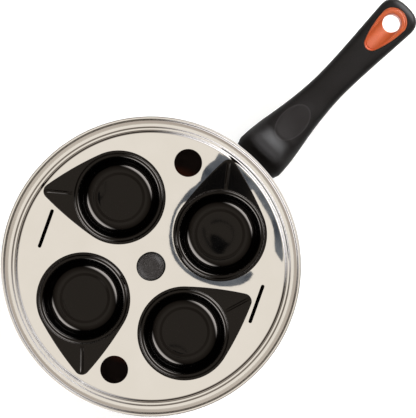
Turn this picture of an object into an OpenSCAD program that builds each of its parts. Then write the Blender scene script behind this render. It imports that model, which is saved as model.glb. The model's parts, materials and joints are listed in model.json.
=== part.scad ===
// Egg poacher pan: a steel pan with an encapsulated base, a moulded handle held by a screw,
// and a lift-out tray that carries four loose non-stick egg cups and a lifting knob.
// Millimetres. +Z is up, the origin is the middle of the base, and the handle runs along +X.

/* [Pan] */
// Outer diameter of the rolled lip
rim_d = 210; // [200:1:230]
// Height of the lip above the surface that the pan stands on
pan_h = 58; // [54:1:80]
// Sheet thickness of the pan
shell_t = 0.8; // [0.6:0.1:1.2]
// Width of the rolled lip
lip_w = 2.4; // [2.2:0.1:3.5]
// Height of the lip above the seat that the tray rests on
lip_h = 4; // [3:0.5:8]
// Width of the seat
seat_w = 4.1; // [3.8:0.1:5]
// How much narrower the wall is at the floor than at the seat
wall_lean = 4; // [1:0.5:8]
// Radius between wall and floor, inside
corner_r = 11; // [6:1:16]

/* [Base] */
// Diameter of the encapsulated base
base_d = 162; // [140:1:164]
// Thickness of the base under the pan's floor
base_t = 4.2; // [3:0.1:7]
// Sheet thickness of the steel cap round the base
cap_t = 0.6; // [0.4:0.1:1]

/* [Tray] */
// Sheet thickness of the tray
tray_t = 0.6; // [0.5:0.1:0.8]
// Depth of the flat plate below the tray's flange
tray_depth = 6; // [4:0.5:9]
// Depth of the inner ring below the flange
ring_drop = 1.6; // [1.2:0.1:2.2]
// Width of the ring between the tray's two steps
ring_w = 1.7; // [1.5:0.1:4]
// How far each step leans outwards
step_lean = 0.6; // [0.4:0.1:1]
// Radial gap between the tray's outer step and the pan's wall
tray_gap = 0.3; // [0.2:0.05:0.4]
// How far the flange reaches past the outer step
flange_w = 2.5; // [2.2:0.1:2.8]
// Radius of the circle that the cups stand on
cup_pitch_r = 52.5; // [50.5:0.5:54]
// Angle of the first cup from the handle
cup_start_angle = -20; // [-25:1:-15]
// Radius of the circle that the steam holes stand on
vent_pitch_r = 77; // [76:0.5:81]
// Diameter of each steam hole
vent_d = 19.6; // [14:0.2:21]
// Radius of the circle that the slots stand on
slot_pitch_r = 78.5; // [77.5:0.5:82]
// Length of each slot
slot_len = 28.5; // [16:0.5:34]
// Width of each slot
slot_w = 2.5; // [1.5:0.1:3.5]

/* [Cups] */
// Diameter of a cup's round flange
cup_d = 66; // [62:0.5:68]
// Sheet thickness of a cup, with its coating
cup_t = 1; // [0.8:0.1:1.2]
// Depth of a cup below the top of its flange
cup_depth = 24; // [18:0.5:28]
// Inner diameter of a cup at its mouth
mouth_d = 56.2; // [52:0.2:56.4]
// How much the cup's wall leans in from mouth to floor
cup_lean = 2; // [1:0.2:4]
// Radius between a cup's wall and floor
cup_corner_r = 9; // [5:0.5:10]
// Height of the rolled bead round the mouth
bead_h = 0.9; // [0.6:0.1:1.2]
// Width of the rolled bead round the mouth
bead_w = 3.2; // [3.1:0.1:3.5]
// Diameter of the sunk disc in a cup's floor
disc_d = 32; // [24:0.4:33]
// Depth of the sunk disc
disc_drop = 0.6; // [0.3:0.1:1]
// Reach of the lifting tab from the cup's middle to its tip
tab_reach = 53; // [46:0.2:54]
// Radius of the tab's tip
tab_tip_r = 5.5; // [3:0.5:7]
// Radius of the tab's long, slightly bowed edges
tab_edge_r = 225; // [150:5:400]
// Height of the rib along the tab
rib_h = 0.6; // [0.3:0.1:0.9]
// Gap between a cup and its opening in the tray
cup_play = 1.3; // [1:0.1:2]

/* [Knob] */
// Diameter of the knob's top
knob_d = 20; // [16:0.2:24]
// Height of the knob above the plate
knob_h = 14; // [12:0.5:18]
// Diameter of the knob's waist
waist_d = 12.4; // [11:0.2:15]
// Diameter of the knob's foot
knob_foot_d = 15; // [13:0.5:18]
// Thread diameter of the knob's screw
knob_thread_d = 4; // [3:0.5:4]

/* [Handle] */
// Length of the handle from the pan's lip to its tip
handle_len = 148.7; // [130:1:180]
// Greatest width, beside the pan
neck_w = 37.2; // [32:0.5:42]
// Width at the waist
grip_w = 21.6; // [20.5:0.2:26]
// Width just before the rounded end
tail_w = 28.8; // [28.2:0.2:34]
// Height of the handle's section beside the pan
neck_t = 18.5; // [18:0.5:19]
// Height of the section at the thumb rest
thumb_t = 18; // [17.5:0.5:22]
// Height of the section at the tail
tail_t = 14.5; // [12:0.5:18]
// Height of the tip's top above the pan's lip
tip_rise = 15; // [13:0.5:22]
// Roundness of the handle's section, 2 for an ellipse and more for a fuller one
fullness = 2.8; // [2.4:0.1:3.4]
// Length of the thumb rest
rest_len = 31.2; // [26:0.5:34]
// Width of the thumb rest
rest_w = 19.8; // [16:0.2:22]
// Depth of the thumb rest
rest_depth = 1.8; // [1:0.1:2.2]

/* [Hang hole] */
// Diameter of the hang hole
hang_d = 12.7; // [10:0.1:13]
// Diameter of the coloured insert's round end
insert_d = 19.7; // [19:0.1:21]
// Radius of the coloured insert's small end
insert_tip_r = 5.25; // [4:0.25:6]
// Length of the coloured insert
insert_len = 36.2; // [32:0.2:38]
// Depth of the insert's basin plate
insert_t = 8; // [7:0.5:9]
// Wall of the insert's sleeve round the hole
sleeve_t = 1.8; // [1.4:0.1:2.2]
// Radial gap between the insert and the handle
insert_gap = 0.15; // [0.1:0.05:0.3]

/* [Handle fixing] */
// Sheet thickness of the bracket
bracket_t = 2.5; // [2:0.1:3]
// Width of the bracket
bracket_w = 16; // [14:0.5:17]
// Thread diameter of the handle's screw
handle_thread_d = 5; // [4:0.5:5]
// Gap between the bracket and the socket that it fits
socket_gap = 0.25; // [0.15:0.05:0.3]

/* [Hidden] */
$fn = 96;
eps = 0.01;
running = 0.05; // radial gap between a thread and what it runs in
arc_step = 10; // degrees between the points of a rounded corner
edge_step = 4; // degrees between the points of a drop's edge

// Pan
rim_r = rim_d / 2;
lip_r = rim_r - lip_w;
wall_r = lip_r - seat_w;
floor_z = base_t + shell_t;
seat_z = pan_h - lip_h;
curl_h = 2.4; // how far the lip's outer edge turns down
lip_bend_r = min(2.4, 0.6 * lip_h); // bend between the seat and the lip
cap_bend_r = 1.4; // outer bend of the steel cap
core_gap = 0.1; // gap between the core and the cap's wall

// Tray: heights and radii of its top surface
flange_z = seat_z + tray_t;
plate_z = flange_z - tray_depth;
ring_z = flange_z - ring_drop;
step_out_r = wall_r - tray_gap - tray_t - step_lean;
step_in_r = step_out_r - ring_w - 2 * step_lean;
tray_r = step_out_r + step_lean + flange_w;
opening_r = mouth_d / 2 + cup_t + cup_play;

// Cups: how far each is turned in its opening, from straight outwards
cup_turns = [57.5, 59.5, 63.5, 93];
// how far each loose cup sits off the middle of its opening, as a share of the play
cup_shares = [[0.38, -0.55], [0.27, 0.63], [-0.5, -0.31], [0.63, -0.27]];
cup_floor_z = cup_t - cup_depth;
rib_w = 1.6;
rib_gap = 2; // from the bead to the rib's inner end
rib_end_gap = 1.5; // from the rib's outer end to the tab's tip
disc_lean = 0.7; // how far the disc's step leans
disc_bend_r = 0.5;
bead_lean = 0.3;
bead_corner_r = 1.5;
bead_z = cup_t + bead_h;
flange_hole_r = mouth_d / 2 + bead_w - cup_t;

// Knob and its fixing
bush_wall = 1.2;
bush_len = 7;
knob_play = 0.2;
knob_screw_r = knob_thread_d / 2;
knob_washer_t = 0.8;
knob_head_h = 2.4;
knob_head_r = knob_thread_d * 0.95;

// Handle: what the grip is lofted through
tip_x = rim_r + handle_len;
tip_z = pan_h + tip_rise;
wall_gap = 0.3;
handle_start_x = wall_r - wall_lean;
tail_len = 14.3; // length of the rounded end
nose_len = 6; // length over which the end rounds off in height

// Share of the handle's length from the lip, half width, height of the top, height of the bottom
neck_top_z = seat_z - 3.5;
neck_bottom_z = neck_top_z - neck_t;
thumb_z = tip_z - 5.8;
stations = [
    [-0.078, neck_w * 0.35, neck_top_z - 1.6, neck_bottom_z + 0.6],
    [-0.045, neck_w * 0.44, neck_top_z - 0.6, neck_bottom_z],
    [0, neck_w * 0.467, neck_top_z, neck_bottom_z - 0.3],
    [0.027, neck_w / 2, neck_top_z + 2.8, neck_bottom_z + 0.8],
    [0.08, neck_w * 0.49, neck_top_z + 9.6, neck_bottom_z + 4.6],
    [0.134, neck_w * 0.461, thumb_z - 2, neck_bottom_z + 9.8],
    [0.195, neck_w * 0.419, thumb_z, thumb_z - thumb_t - 2],
    [0.308, neck_w * 0.347, thumb_z + 1.2, thumb_z + 1 - thumb_t],
    [0.417, grip_w * 0.521, thumb_z + 2.1, tip_z - 5 - tail_t],
    [0.51, grip_w / 2, tip_z - 2.7, tip_z - 3.6 - tail_t],
    [0.65, grip_w * 0.537, tip_z - 1.2, tip_z - 2 - tail_t],
    [0.815, tail_w * 0.458, tip_z - 0.3, tip_z - 0.8 - tail_t],
    [1, tail_w * 0.52, tip_z, tip_z - tail_t]];

// Thumb rest: a barrel whose axis lies above the grip
rest_x = rim_r + 37.1;
rest_axis_h = (pow(rest_w / 2, 2) - pow(rest_depth, 2)) / (2 * rest_depth);
rest_barrel_r = rest_axis_h + rest_depth;
rest_arc_r = (pow(rest_len / 2, 2) + pow(rest_depth, 2)) / (2 * rest_depth);
rest_slope = 2.4;

// Insert and hang hole
insert_end_gap = 4.8; // from the insert's round end to the handle's tip
insert_x = tip_x - insert_end_gap - insert_d / 2;
insert_span = insert_len - insert_d / 2 - insert_tip_r;
insert_edge_r = 70;
hang_x = insert_x - 1.3;
hang_r = hang_d / 2;
insert_top_z = tip_z - 0.6;
scoop_r = 8;
scoop_depth = 5.6;
scoop_angle = 9;

// Bracket, its screw and the pieces on it
pad_t = 1.5;
pad_w = 20;
pad_z = [neck_bottom_z + 4, neck_top_z - 3];
screw_x = rim_r + 32;
tongue_z = thumb_z - 13;
tongue_end_x = screw_x + 9;
tongue_start = 9; // straight run from the pad's middle to the first bend
tongue_flat = 11; // straight run from the second bend to the screw
tongue_bend_r = 4;
handle_screw_r = handle_thread_d / 2;
nut_w = handle_thread_d * 1.8;
nut_h = 4;
washer_t = 1;
web_t = 2; // moulded web between washer and bracket
head_h = 2.8;
head_r = handle_thread_d * 0.92;
screw_play = 0.3;

// Geometry helpers

function unit(v) = v / norm(v);
function right_of(a, b) = let (d = unit(b - a)) [d.y, -d.x];

// An arc that rounds the corner at b, coming from a and going to c
function corner(a, b, c, r) =
    let (d1 = unit(a - b), d2 = unit(c - b),
         half = acos(d1 * d2) / 2,
         middle = b + unit(d1 + d2) * r / sin(half),
         start = b + d1 * r / tan(half) - middle,
         turn = sign(d1.x * d2.y - d1.y * d2.x) * (180 - 2 * half),
         n = max(2, ceil(abs(turn) / arc_step)))
    [for (k = [0 : n]) let (q = -turn * k / n)
        middle + [start.x * cos(q) - start.y * sin(q), start.x * sin(q) + start.y * cos(q)]];

// A path through points [x, y, corner radius], with its corners rounded
function rounded(p) = [for (i = [0 : len(p) - 1])
    let (here = [p[i].x, p[i].y])
    each (i == 0 || i == len(p) - 1 || len(p[i]) < 3) ? [here]
        : corner([p[i - 1].x, p[i - 1].y], here, [p[i + 1].x, p[i + 1].y], p[i][2])];

// The path moved sideways to its right by t, for the other side of a sheet
function beside(p, t) = [for (i = [0 : len(p) - 1])
    let (n1 = i > 0 ? right_of(p[i - 1], p[i]) : right_of(p[0], p[1]),
         n2 = i < len(p) - 1 ? right_of(p[i], p[i + 1]) : n1,
         m = unit(n1 + n2))
    p[i] + m * t / (m * n1)];

function reversed(p) = [for (i = [len(p) - 1 : -1 : 0]) p[i]];

// A turned sheet: the path is its visible side, and the metal lies to the path's right
module sheet_ring(path, t) {
    p = rounded(path);
    rotate_extrude() polygon(concat(p, reversed(beside(p, t))));
}

// Points of an arc, from one angle to another
function arc(middle, r, from, to) = let (n = ceil(abs(to - from) / edge_step) + 1)
    [for (k = [0 : n]) let (a = from + (to - from) * k / n) middle + r * [cos(a), sin(a)]];

// One side of a drop: a small round end at x = span, a bowed edge, and a round end at the origin
function drop_side(r, tip_r, span, edge_r) =
    let (cx = (pow(edge_r - r, 2) - pow(edge_r - tip_r, 2) + span * span) / (2 * span),
         cy = sqrt(pow(edge_r - r, 2) - cx * cx),
         big = atan2(cy, -cx),
         small = atan2(cy, span - cx))
    concat(arc([span, 0], tip_r, 0, small), arc([cx, -cy], edge_r, small + 0.2, big - 0.2),
        arc([0, 0], r, big, 180));

module drop(r, tip_r, span, edge_r) {
    side = drop_side(r, tip_r, span, edge_r);
    other = [for (i = [len(side) - 2 : -1 : 1]) [side[i].x, -side[i].y]];
    polygon(concat(side, other));
}

// A slot with round ends, as long and as wide as said
module slot_shape(length, width) {
    run = length - width;
    square([width, run], center = true);
    for (side = [-1, 1]) translate([0, side * run / 2]) circle(width / 2);
}

// Smooth curve through a table's column c at x, whose first column rises
function slope(t, i, c) = let (a = max(i - 1, 0), b = min(i + 1, len(t) - 1))
    (t[b][c] - t[a][c]) / (t[b][0] - t[a][0]);
function segment(t, x, i = 0) = (i >= len(t) - 2 || x < t[i + 1][0]) ? i : segment(t, x, i + 1);
function curve(t, x, c) =
    let (i = segment(t, x), w = t[i + 1][0] - t[i][0], s = (x - t[i][0]) / w,
         s2 = s * s, s3 = s2 * s)
    (2 * s3 - 3 * s2 + 1) * t[i][c] + (s3 - 2 * s2 + s) * w * slope(t, i, c)
        + (3 * s2 - 2 * s3) * t[i + 1][c] + (s3 - s2) * w * slope(t, i + 1, c);

function powered(v, e) = sign(v) * pow(abs(v), e);

// Pan

function wall_out_r(z) = wall_r + shell_t - wall_lean * (seat_z - z) / (seat_z - floor_z);

module pan_shell() {
    color([0.80, 0.78, 0.75])
        sheet_ring([[0, floor_z], [wall_r - wall_lean, floor_z, corner_r], [wall_r, seat_z, 0.8],
            [lip_r, seat_z, lip_bend_r], [lip_r + 0.3, pan_h, 0.9], [rim_r, pan_h, 1],
            [rim_r, pan_h - curl_h]], shell_t);
}

module base_core() {
    r = base_d / 2 - cap_t - core_gap;
    color([0.75, 0.76, 0.77])
        rotate_extrude()
            polygon(rounded([[0, cap_t], [r, cap_t, cap_bend_r - cap_t], [r, base_t], [0, base_t]]));
}

module base_cap() {
    r = base_d / 2;
    color([0.72, 0.71, 0.69])
        rotate_extrude() {
            outer = rounded([[0, 0], [r, 0, cap_bend_r], [r, base_t]]);
            inner = beside(outer, -cap_t);
            polygon(concat(outer, reversed(inner)));
        }
}

// Tray

module poaching_tray() {
    color([0.86, 0.83, 0.78]) difference() {
        sheet_ring([[0, plate_z], [step_in_r, plate_z, 0.9], [step_in_r + 2 * step_lean, ring_z, 0.8],
            [step_out_r, ring_z, 0.4], [step_out_r + step_lean, flange_z, 0.7], [tray_r, flange_z]],
            tray_t);
        translate([0, 0, plate_z - tray_t - 1]) linear_extrude(tray_t + 2) {
            circle(knob_screw_r + knob_play);
            for (k = [0 : 3]) rotate(cup_start_angle + 90 * k)
                translate([cup_pitch_r, 0]) circle(opening_r);
            for (k = [0, 1]) rotate(cup_start_angle + 45 + 180 * k) {
                translate([vent_pitch_r, 0]) circle(vent_d / 2);
                rotate(90) translate([slot_pitch_r, 0]) slot_shape(slot_len, slot_w);
            }
        }
    }
}

module tray_knob() {
    r = knob_d / 2;
    color([0.16, 0.15, 0.15]) translate([0, 0, plate_z]) difference() {
        rotate_extrude() polygon(concat(
            rounded([[0, 0], [knob_foot_d / 2, 0, 0.6], [knob_foot_d / 2, 1.6, 0.6],
                [waist_d / 2, 4, 2.5], [waist_d / 2, knob_h - 6.5, 2.5], [r, knob_h - 3.2, 1],
                [r, knob_h, 1.2], [r - 2.4, knob_h - 0.2, 2.5], [0, knob_h - 1.1]])));
        translate([0, 0, -1]) cylinder(r = knob_screw_r + running + bush_wall, h = bush_len + 1);
        cylinder(r = knob_screw_r + running, h = bush_len + 1.2);
    }
}

module knob_bush() {
    color([0.78, 0.66, 0.36]) translate([0, 0, plate_z]) difference() {
        cylinder(r = knob_screw_r + running + bush_wall, h = bush_len);
        translate([0, 0, -1]) cylinder(r = knob_screw_r + running, h = bush_len + 2);
    }
}

module knob_washer() {
    color([0.7, 0.7, 0.7]) translate([0, 0, plate_z - tray_t - knob_washer_t]) difference() {
        cylinder(r = knob_head_r + 1.2, h = knob_washer_t);
        translate([0, 0, -1]) cylinder(r = knob_screw_r + knob_play, h = knob_washer_t + 2);
    }
}

// A pan-head screw whose head's underside is at z = 0 and whose thread points up
module screw(thread_r, length, head_r, head_h) {
    cross_w = head_r * 0.22;
    cylinder(r = thread_r, h = length);
    difference() {
        rotate_extrude() polygon(concat([[0, 0]], rounded([[head_r, 0], [head_r, -head_h, head_h * 0.5],
            [0, -head_h]])));
        for (a = [0, 90]) rotate(a)
            translate([-head_r * 0.6, -cross_w / 2, -head_h - 1])
                cube([head_r * 1.2, cross_w, head_h * 0.55 + 1]);
    }
}

module knob_screw() {
    color([0.7, 0.7, 0.7]) translate([0, 0, plate_z - tray_t - knob_washer_t])
        screw(knob_screw_r, tray_t + knob_washer_t + bush_len, knob_head_r, knob_head_h);
}

// Egg cups

module cup_body() {
    mouth_r = mouth_d / 2;
    foot_r = mouth_r - cup_lean;
    bead_r = mouth_r + bead_w;
    union() {
        sheet_ring([[0, cup_floor_z], [disc_d / 2, cup_floor_z, disc_bend_r],
            [disc_d / 2 + disc_lean, cup_floor_z + disc_drop, disc_bend_r],
            [foot_r, cup_floor_z + disc_drop, cup_corner_r], [mouth_r, bead_z, bead_corner_r],
            [bead_r - bead_lean, bead_z, bead_corner_r], [bead_r, cup_t / 2]], cup_t);
        difference() {
            linear_extrude(cup_t) drop(cup_d / 2, tab_tip_r, tab_reach - tab_tip_r, tab_edge_r);
            translate([0, 0, -1]) cylinder(r = flange_hole_r, h = cup_t + 2);
        }
        tab_rib();
    }
}

// The rib runs along the tab's middle, from beside the bead to the tip, and stands rib_h proud
module tab_rib() {
    start = mouth_d / 2 + bead_w + rib_gap;
    end = tab_reach - rib_end_gap;
    translate([(start + end) / 2, 0, cup_t / 2]) rotate(90)
        linear_extrude(cup_t / 2 + rib_h) slot_shape(end - start, rib_w);
}

module egg_cup(k) {
    color([0.11, 0.10, 0.09])
        translate([cup_shares[k][0] * cup_play, cup_shares[k][1] * cup_play, 0])
            rotate(cup_start_angle + 90 * k)
                translate([cup_pitch_r, 0, plate_z]) rotate(cup_turns[k]) cup_body();
}

// Handle

// Half width and heights of the grip at x, with its tail rounded in plan and in height
function grip_share(x) = (x - rim_r) / handle_len;
function tail_share(x) = min(1, max(0, (x - tip_x + tail_len) / tail_len));
function nose_share(x) = min(1, max(0, (x - tip_x + nose_len) / nose_len));
function grip_half_w(x) = curve(stations, grip_share(x), 1)
    * pow(1 - pow(tail_share(x), fullness), 1 / fullness);
function grip_middle_z(x) = (curve(stations, grip_share(x), 2) + curve(stations, grip_share(x), 3)) / 2;
function grip_half_t(x) = (curve(stations, grip_share(x), 2) - curve(stations, grip_share(x), 3)) / 2
    * (0.45 + 0.55 * sqrt(1 - pow(nose_share(x), 2)));

function grip_ring(x, sides) = [for (k = [0 : sides - 1]) let (a = 360 * k / sides)
    [x, grip_half_w(x) * powered(cos(a), 2 / fullness),
        grip_middle_z(x) + grip_half_t(x) * powered(sin(a), 2 / fullness)]];

module grip_solid() {
    sides = 32;
    straight = 34;
    curl = 9;
    tail_x = tip_x - tail_len;
    xs = concat([for (i = [0 : straight]) handle_start_x + (tail_x - handle_start_x) * i / straight],
        [for (i = [1 : curl]) tail_x + tail_len * sin(88.5 * i / curl)]);
    rings = [for (x = xs) grip_ring(x, sides)];
    last = len(rings) - 1;
    points = [for (r = rings) each r];
    faces = concat([[for (k = [0 : sides - 1]) k]],
        [for (i = [0 : last - 1], k = [0 : sides - 1]) let (n = (k + 1) % sides)
            [i * sides + n, i * sides + k, (i + 1) * sides + k]],
        [for (i = [0 : last - 1], k = [0 : sides - 1]) let (n = (k + 1) % sides)
            [i * sides + n, (i + 1) * sides + k, (i + 1) * sides + n]],
        [[for (k = [sides - 1 : -1 : 0]) last * sides + k]]);
    polyhedron(points, faces);
}

module thumb_cut() {
    top = curve(stations, grip_share(rest_x), 2);
    translate([rest_x, 0, top + rest_axis_h]) rotate([0, 90 - rest_slope, 0])
        rotate_extrude() intersection() {
            translate([rest_barrel_r - rest_arc_r, 0]) circle(rest_arc_r, $fn = 240);
            translate([0, -rest_len]) square([2 * rest_barrel_r, 2 * rest_len]);
        }
}

// The space inside the pan and just outside its wall, which the grip stays out of
module pan_room() {
    rotate_extrude() polygon([[0, 0], [wall_out_r(0) + wall_gap, 0],
        [wall_out_r(seat_z) + wall_gap, seat_z], [wall_out_r(seat_z) + wall_gap, 2 * pan_h],
        [0, 2 * pan_h]]);
}

// A ring of the given thickness that lies on the pan's leaning wall, gap away from it
module wall_ring(gap, t, z0, z1) {
    rotate_extrude() polygon([[wall_out_r(z0) + gap, z0], [wall_out_r(z0) + gap + t, z0],
        [wall_out_r(z1) + gap + t, z1], [wall_out_r(z1) + gap, z1]]);
}

// Bracket: a pad on the wall and a cranked tongue. grow makes the socket that it fits
module bracket_solid(grow) {
    pad_x = wall_out_r((pad_z[0] + pad_z[1]) / 2) + pad_t / 2;
    mid_z = (pad_z[0] + pad_z[1]) / 2;
    intersection() {
        wall_ring(running, pad_t + grow, pad_z[0] - grow, pad_z[1] + grow);
        translate([0, -pad_w / 2 - grow, 0]) cube([2 * rim_r, pad_w + 2 * grow, pan_h]);
    }
    tongue = rounded([[pad_x, mid_z + bracket_t / 2],
        [pad_x + tongue_start, mid_z + bracket_t / 2, tongue_bend_r],
        [screw_x - tongue_flat, tongue_z + bracket_t / 2, tongue_bend_r],
        [tongue_end_x + grow, tongue_z + bracket_t / 2]]);
    rotate([90, 0, 0]) linear_extrude(bracket_w + 2 * grow, center = true)
        polygon(concat(beside(tongue, -grow), reversed(beside(tongue, bracket_t + grow))));
}

module handle_bracket() {
    color([0.6, 0.6, 0.6]) difference() {
        bracket_solid(0);
        translate([screw_x, 0, tongue_z - bracket_t])
            cylinder(r = handle_screw_r + screw_play, h = 2 * bracket_t);
    }
}

module insert_outline(grow) {
    mirror([1, 0]) drop(insert_d / 2 + grow, insert_tip_r + grow, insert_span, insert_edge_r + grow);
}

// Everything that the grip leaves room for
module grip_cuts() {
    nut_z = tongue_z + bracket_t / 2 + socket_gap;
    web_z = tongue_z - bracket_t / 2 - socket_gap - web_t;
    pan_room();
    thumb_cut();
    bracket_solid(socket_gap);
    translate([screw_x, 0, nut_z]) translate([-nut_w / 2 - 0.1, -nut_w / 2 - 0.1, -eps])
        cube([nut_w + 0.2, nut_w + 0.2, nut_h + 0.1]);
    translate([screw_x, 0, 0]) {
        cylinder(r = handle_screw_r + screw_play, h = nut_z + nut_h + 1.2);
        cylinder(r = head_r + 0.5, h = web_z);
    }
    translate([insert_x, 0, insert_top_z - insert_t]) linear_extrude(insert_t + 20)
        insert_outline(insert_gap);
    translate([hang_x, 0, 0]) cylinder(r = hang_r + sleeve_t + insert_gap, h = tip_z);
}

module handle_grip() {
    color([0.14, 0.13, 0.13]) difference() {
        grip_solid();
        grip_cuts();
    }
}

module hang_insert() {
    bottom = curve(stations, grip_share(hang_x), 3) + 0.4;
    color([0.80, 0.38, 0.22]) difference() {
        union() {
            translate([insert_x, 0, insert_top_z - insert_t + insert_gap])
                linear_extrude(insert_t - insert_gap) insert_outline(0);
            translate([hang_x, 0, bottom])
                cylinder(r = hang_r + sleeve_t, h = insert_top_z - bottom - 1);
        }
        translate([hang_x, 0, 0]) cylinder(r = hang_r, h = tip_z + 5);
        scoop();
    }
}

// The scoop runs down from the insert's small end to the hole
module scoop() {
    translate([hang_x, 0, insert_top_z - scoop_depth + scoop_r]) rotate([0, scoop_angle - 90, 0]) {
        cylinder(r = scoop_r, h = insert_len);
        sphere(scoop_r);
    }
}

module handle_nut() {
    color([0.7, 0.7, 0.7]) translate([screw_x, 0, tongue_z + bracket_t / 2 + socket_gap]) difference() {
        translate([-nut_w / 2, -nut_w / 2, 0]) cube([nut_w, nut_w, nut_h]);
        translate([0, 0, -1]) cylinder(r = handle_screw_r + running, h = nut_h + 2);
    }
}

module handle_washer() {
    color([0.7, 0.7, 0.7])
        translate([screw_x, 0, tongue_z - bracket_t / 2 - socket_gap - web_t - washer_t]) difference() {
            cylinder(r = head_r, h = washer_t);
            translate([0, 0, -1]) cylinder(r = handle_screw_r + screw_play, h = washer_t + 2);
        }
}

module handle_screw() {
    under_head_z = tongue_z - bracket_t / 2 - socket_gap - web_t - washer_t;
    color([0.7, 0.7, 0.7]) translate([screw_x, 0, under_head_z])
        screw(handle_screw_r, tongue_z + bracket_t / 2 + socket_gap + nut_h + 1 - under_head_z,
            head_r, head_h);
}

pan_shell();
base_core();
base_cap();
handle_bracket();
handle_grip();
hang_insert();
handle_nut();
handle_washer();
handle_screw();
poaching_tray();
tray_knob();
knob_bush();
knob_washer();
knob_screw();
egg_cup(0);  // egg_cup_1
egg_cup(1);  // egg_cup_2
egg_cup(2);  // egg_cup_3
egg_cup(3);  // egg_cup_4
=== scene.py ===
# %% [markdown]
# # An egg poacher pan, seen from straight above
# The object is a steel pan with a black moulded handle. A polished tray hangs inside its rim, and
# four black non-stick cups stand in the tray. The construction, the sizes and the joints come
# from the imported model, which this file loads as a fixed frame. What this file adds is the
# finish: smooth pressed steel, glossy coating, soft-touch plastic, light and a camera.
#
# Polished steel is mostly a picture of what surrounds it. So half of this lesson is about
# surfaces that are smooth enough to mirror, and the other half about what they mirror.

# %% Load the frame
import json
import math
import bpy
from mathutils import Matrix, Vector

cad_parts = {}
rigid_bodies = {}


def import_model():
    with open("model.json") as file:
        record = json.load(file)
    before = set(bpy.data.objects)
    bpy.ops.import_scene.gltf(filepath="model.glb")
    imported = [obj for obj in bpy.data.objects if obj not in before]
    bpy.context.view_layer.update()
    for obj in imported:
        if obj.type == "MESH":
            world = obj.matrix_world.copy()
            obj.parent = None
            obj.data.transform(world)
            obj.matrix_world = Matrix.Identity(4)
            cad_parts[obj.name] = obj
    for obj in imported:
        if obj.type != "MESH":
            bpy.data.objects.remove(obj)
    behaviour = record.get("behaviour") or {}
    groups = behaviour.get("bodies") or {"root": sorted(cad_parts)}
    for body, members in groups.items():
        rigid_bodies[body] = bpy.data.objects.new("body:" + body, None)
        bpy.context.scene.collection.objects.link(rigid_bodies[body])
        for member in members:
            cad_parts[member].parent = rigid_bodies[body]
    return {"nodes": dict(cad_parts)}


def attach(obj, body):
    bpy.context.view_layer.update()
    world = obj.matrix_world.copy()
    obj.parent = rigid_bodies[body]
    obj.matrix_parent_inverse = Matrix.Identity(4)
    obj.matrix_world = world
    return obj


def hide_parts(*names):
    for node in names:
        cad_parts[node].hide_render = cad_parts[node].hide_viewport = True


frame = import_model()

scene = bpy.context.scene


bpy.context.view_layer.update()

# %% [markdown]
# ## Sizes
# These are the driving sizes of the real pan in millimetres, the same ones that its construction
# is drawn from. Everything below is worked out from them, so a piece can't drift away from the
# frame. A mesh is made in millimetres too and shrunk to metres once, at the end of its making.

# %% The pan, the tray and the cups
RIM_R = 105.0
PAN_H = 58.0
SHELL_T = 0.8
LIP_W = 2.4
LIP_H = 4.0
SEAT_W = 4.1
WALL_LEAN = 4.0
PAN_CORNER_R = 11.0
CURL_H = 2.4
BASE_R = 81.0
BASE_T = 4.2
CAP_T = 0.6

TRAY_T = 0.6
TRAY_DEPTH = 6.0
RING_DROP = 1.6
RING_W = 1.7
STEP_LEAN = 0.6
TRAY_GAP = 0.3
FLANGE_W = 2.5
CUP_PITCH_R = 52.5
CUP_START = -20.0
VENT_PITCH_R = 77.0
VENT_D = 19.6
SLOT_PITCH_R = 78.5
SLOT_LEN = 28.5
SLOT_W = 2.5

CUP_R = 33.0
CUP_T = 1.0
CUP_DEPTH = 24.0
MOUTH_R = 28.1
CUP_LEAN = 2.0
CUP_CORNER_R = 8.4
BEAD_H = 0.9
BEAD_W = 3.2
BEAD_CORNER_R = 1.5
DISC_R = 16.0
DISC_DROP = 0.6
TAB_REACH = 53.0
TAB_TIP_R = 5.5
TAB_EDGE_R = 225.0
RIB_H = 0.6
RIB_W = 2.3
CUP_TURNS = [57.5, 59.5, 63.5, 93.0]
CUP_PLAY = 1.3
CUP_SHARES = [(0.38, -0.55), (0.27, 0.63), (-0.5, -0.31), (0.63, -0.27)]

# %% The knob and the handle
KNOB_R = 10.0
KNOB_H = 14.0
WAIST_R = 6.2
KNOB_FOOT_R = 7.5
KNOB_SCREW_R = 2.0
KNOB_PLAY = 0.2

HANDLE_LEN = 148.7
NECK_W = 37.2
GRIP_W = 21.6
TAIL_W = 28.8
NECK_T = 18.5
THUMB_T = 18.0
TAIL_T = 14.5
TIP_RISE = 15.0
FULLNESS = 2.8
FRONT_FULLNESS = 1.6
FRONT_LEN = 20.0
FRONT_BLEND = 22.0
SKIN_T = 0.3
TAIL_LEN = 14.3
NOSE_LEN = 6.0
WALL_GAP = 0.3
REST_LEN = 31.2
REST_W = 19.8
REST_DEPTH = 1.8
REST_SLOPE = 2.4

HANG_R = 6.35
INSERT_R = 9.85
INSERT_TIP_R = 5.25
INSERT_LEN = 36.2
INSERT_T = 8.0
INSERT_EDGE_R = 70.0
INSERT_GAP = 0.15
SLEEVE_T = 1.8
SCOOP_R = 7.2
SCOOP_DEPTH = 5.6
SCOOP_ANGLE = 9.0
GROOVE_IN = 1.5
GROOVE_DEPTH = 0.4

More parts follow.
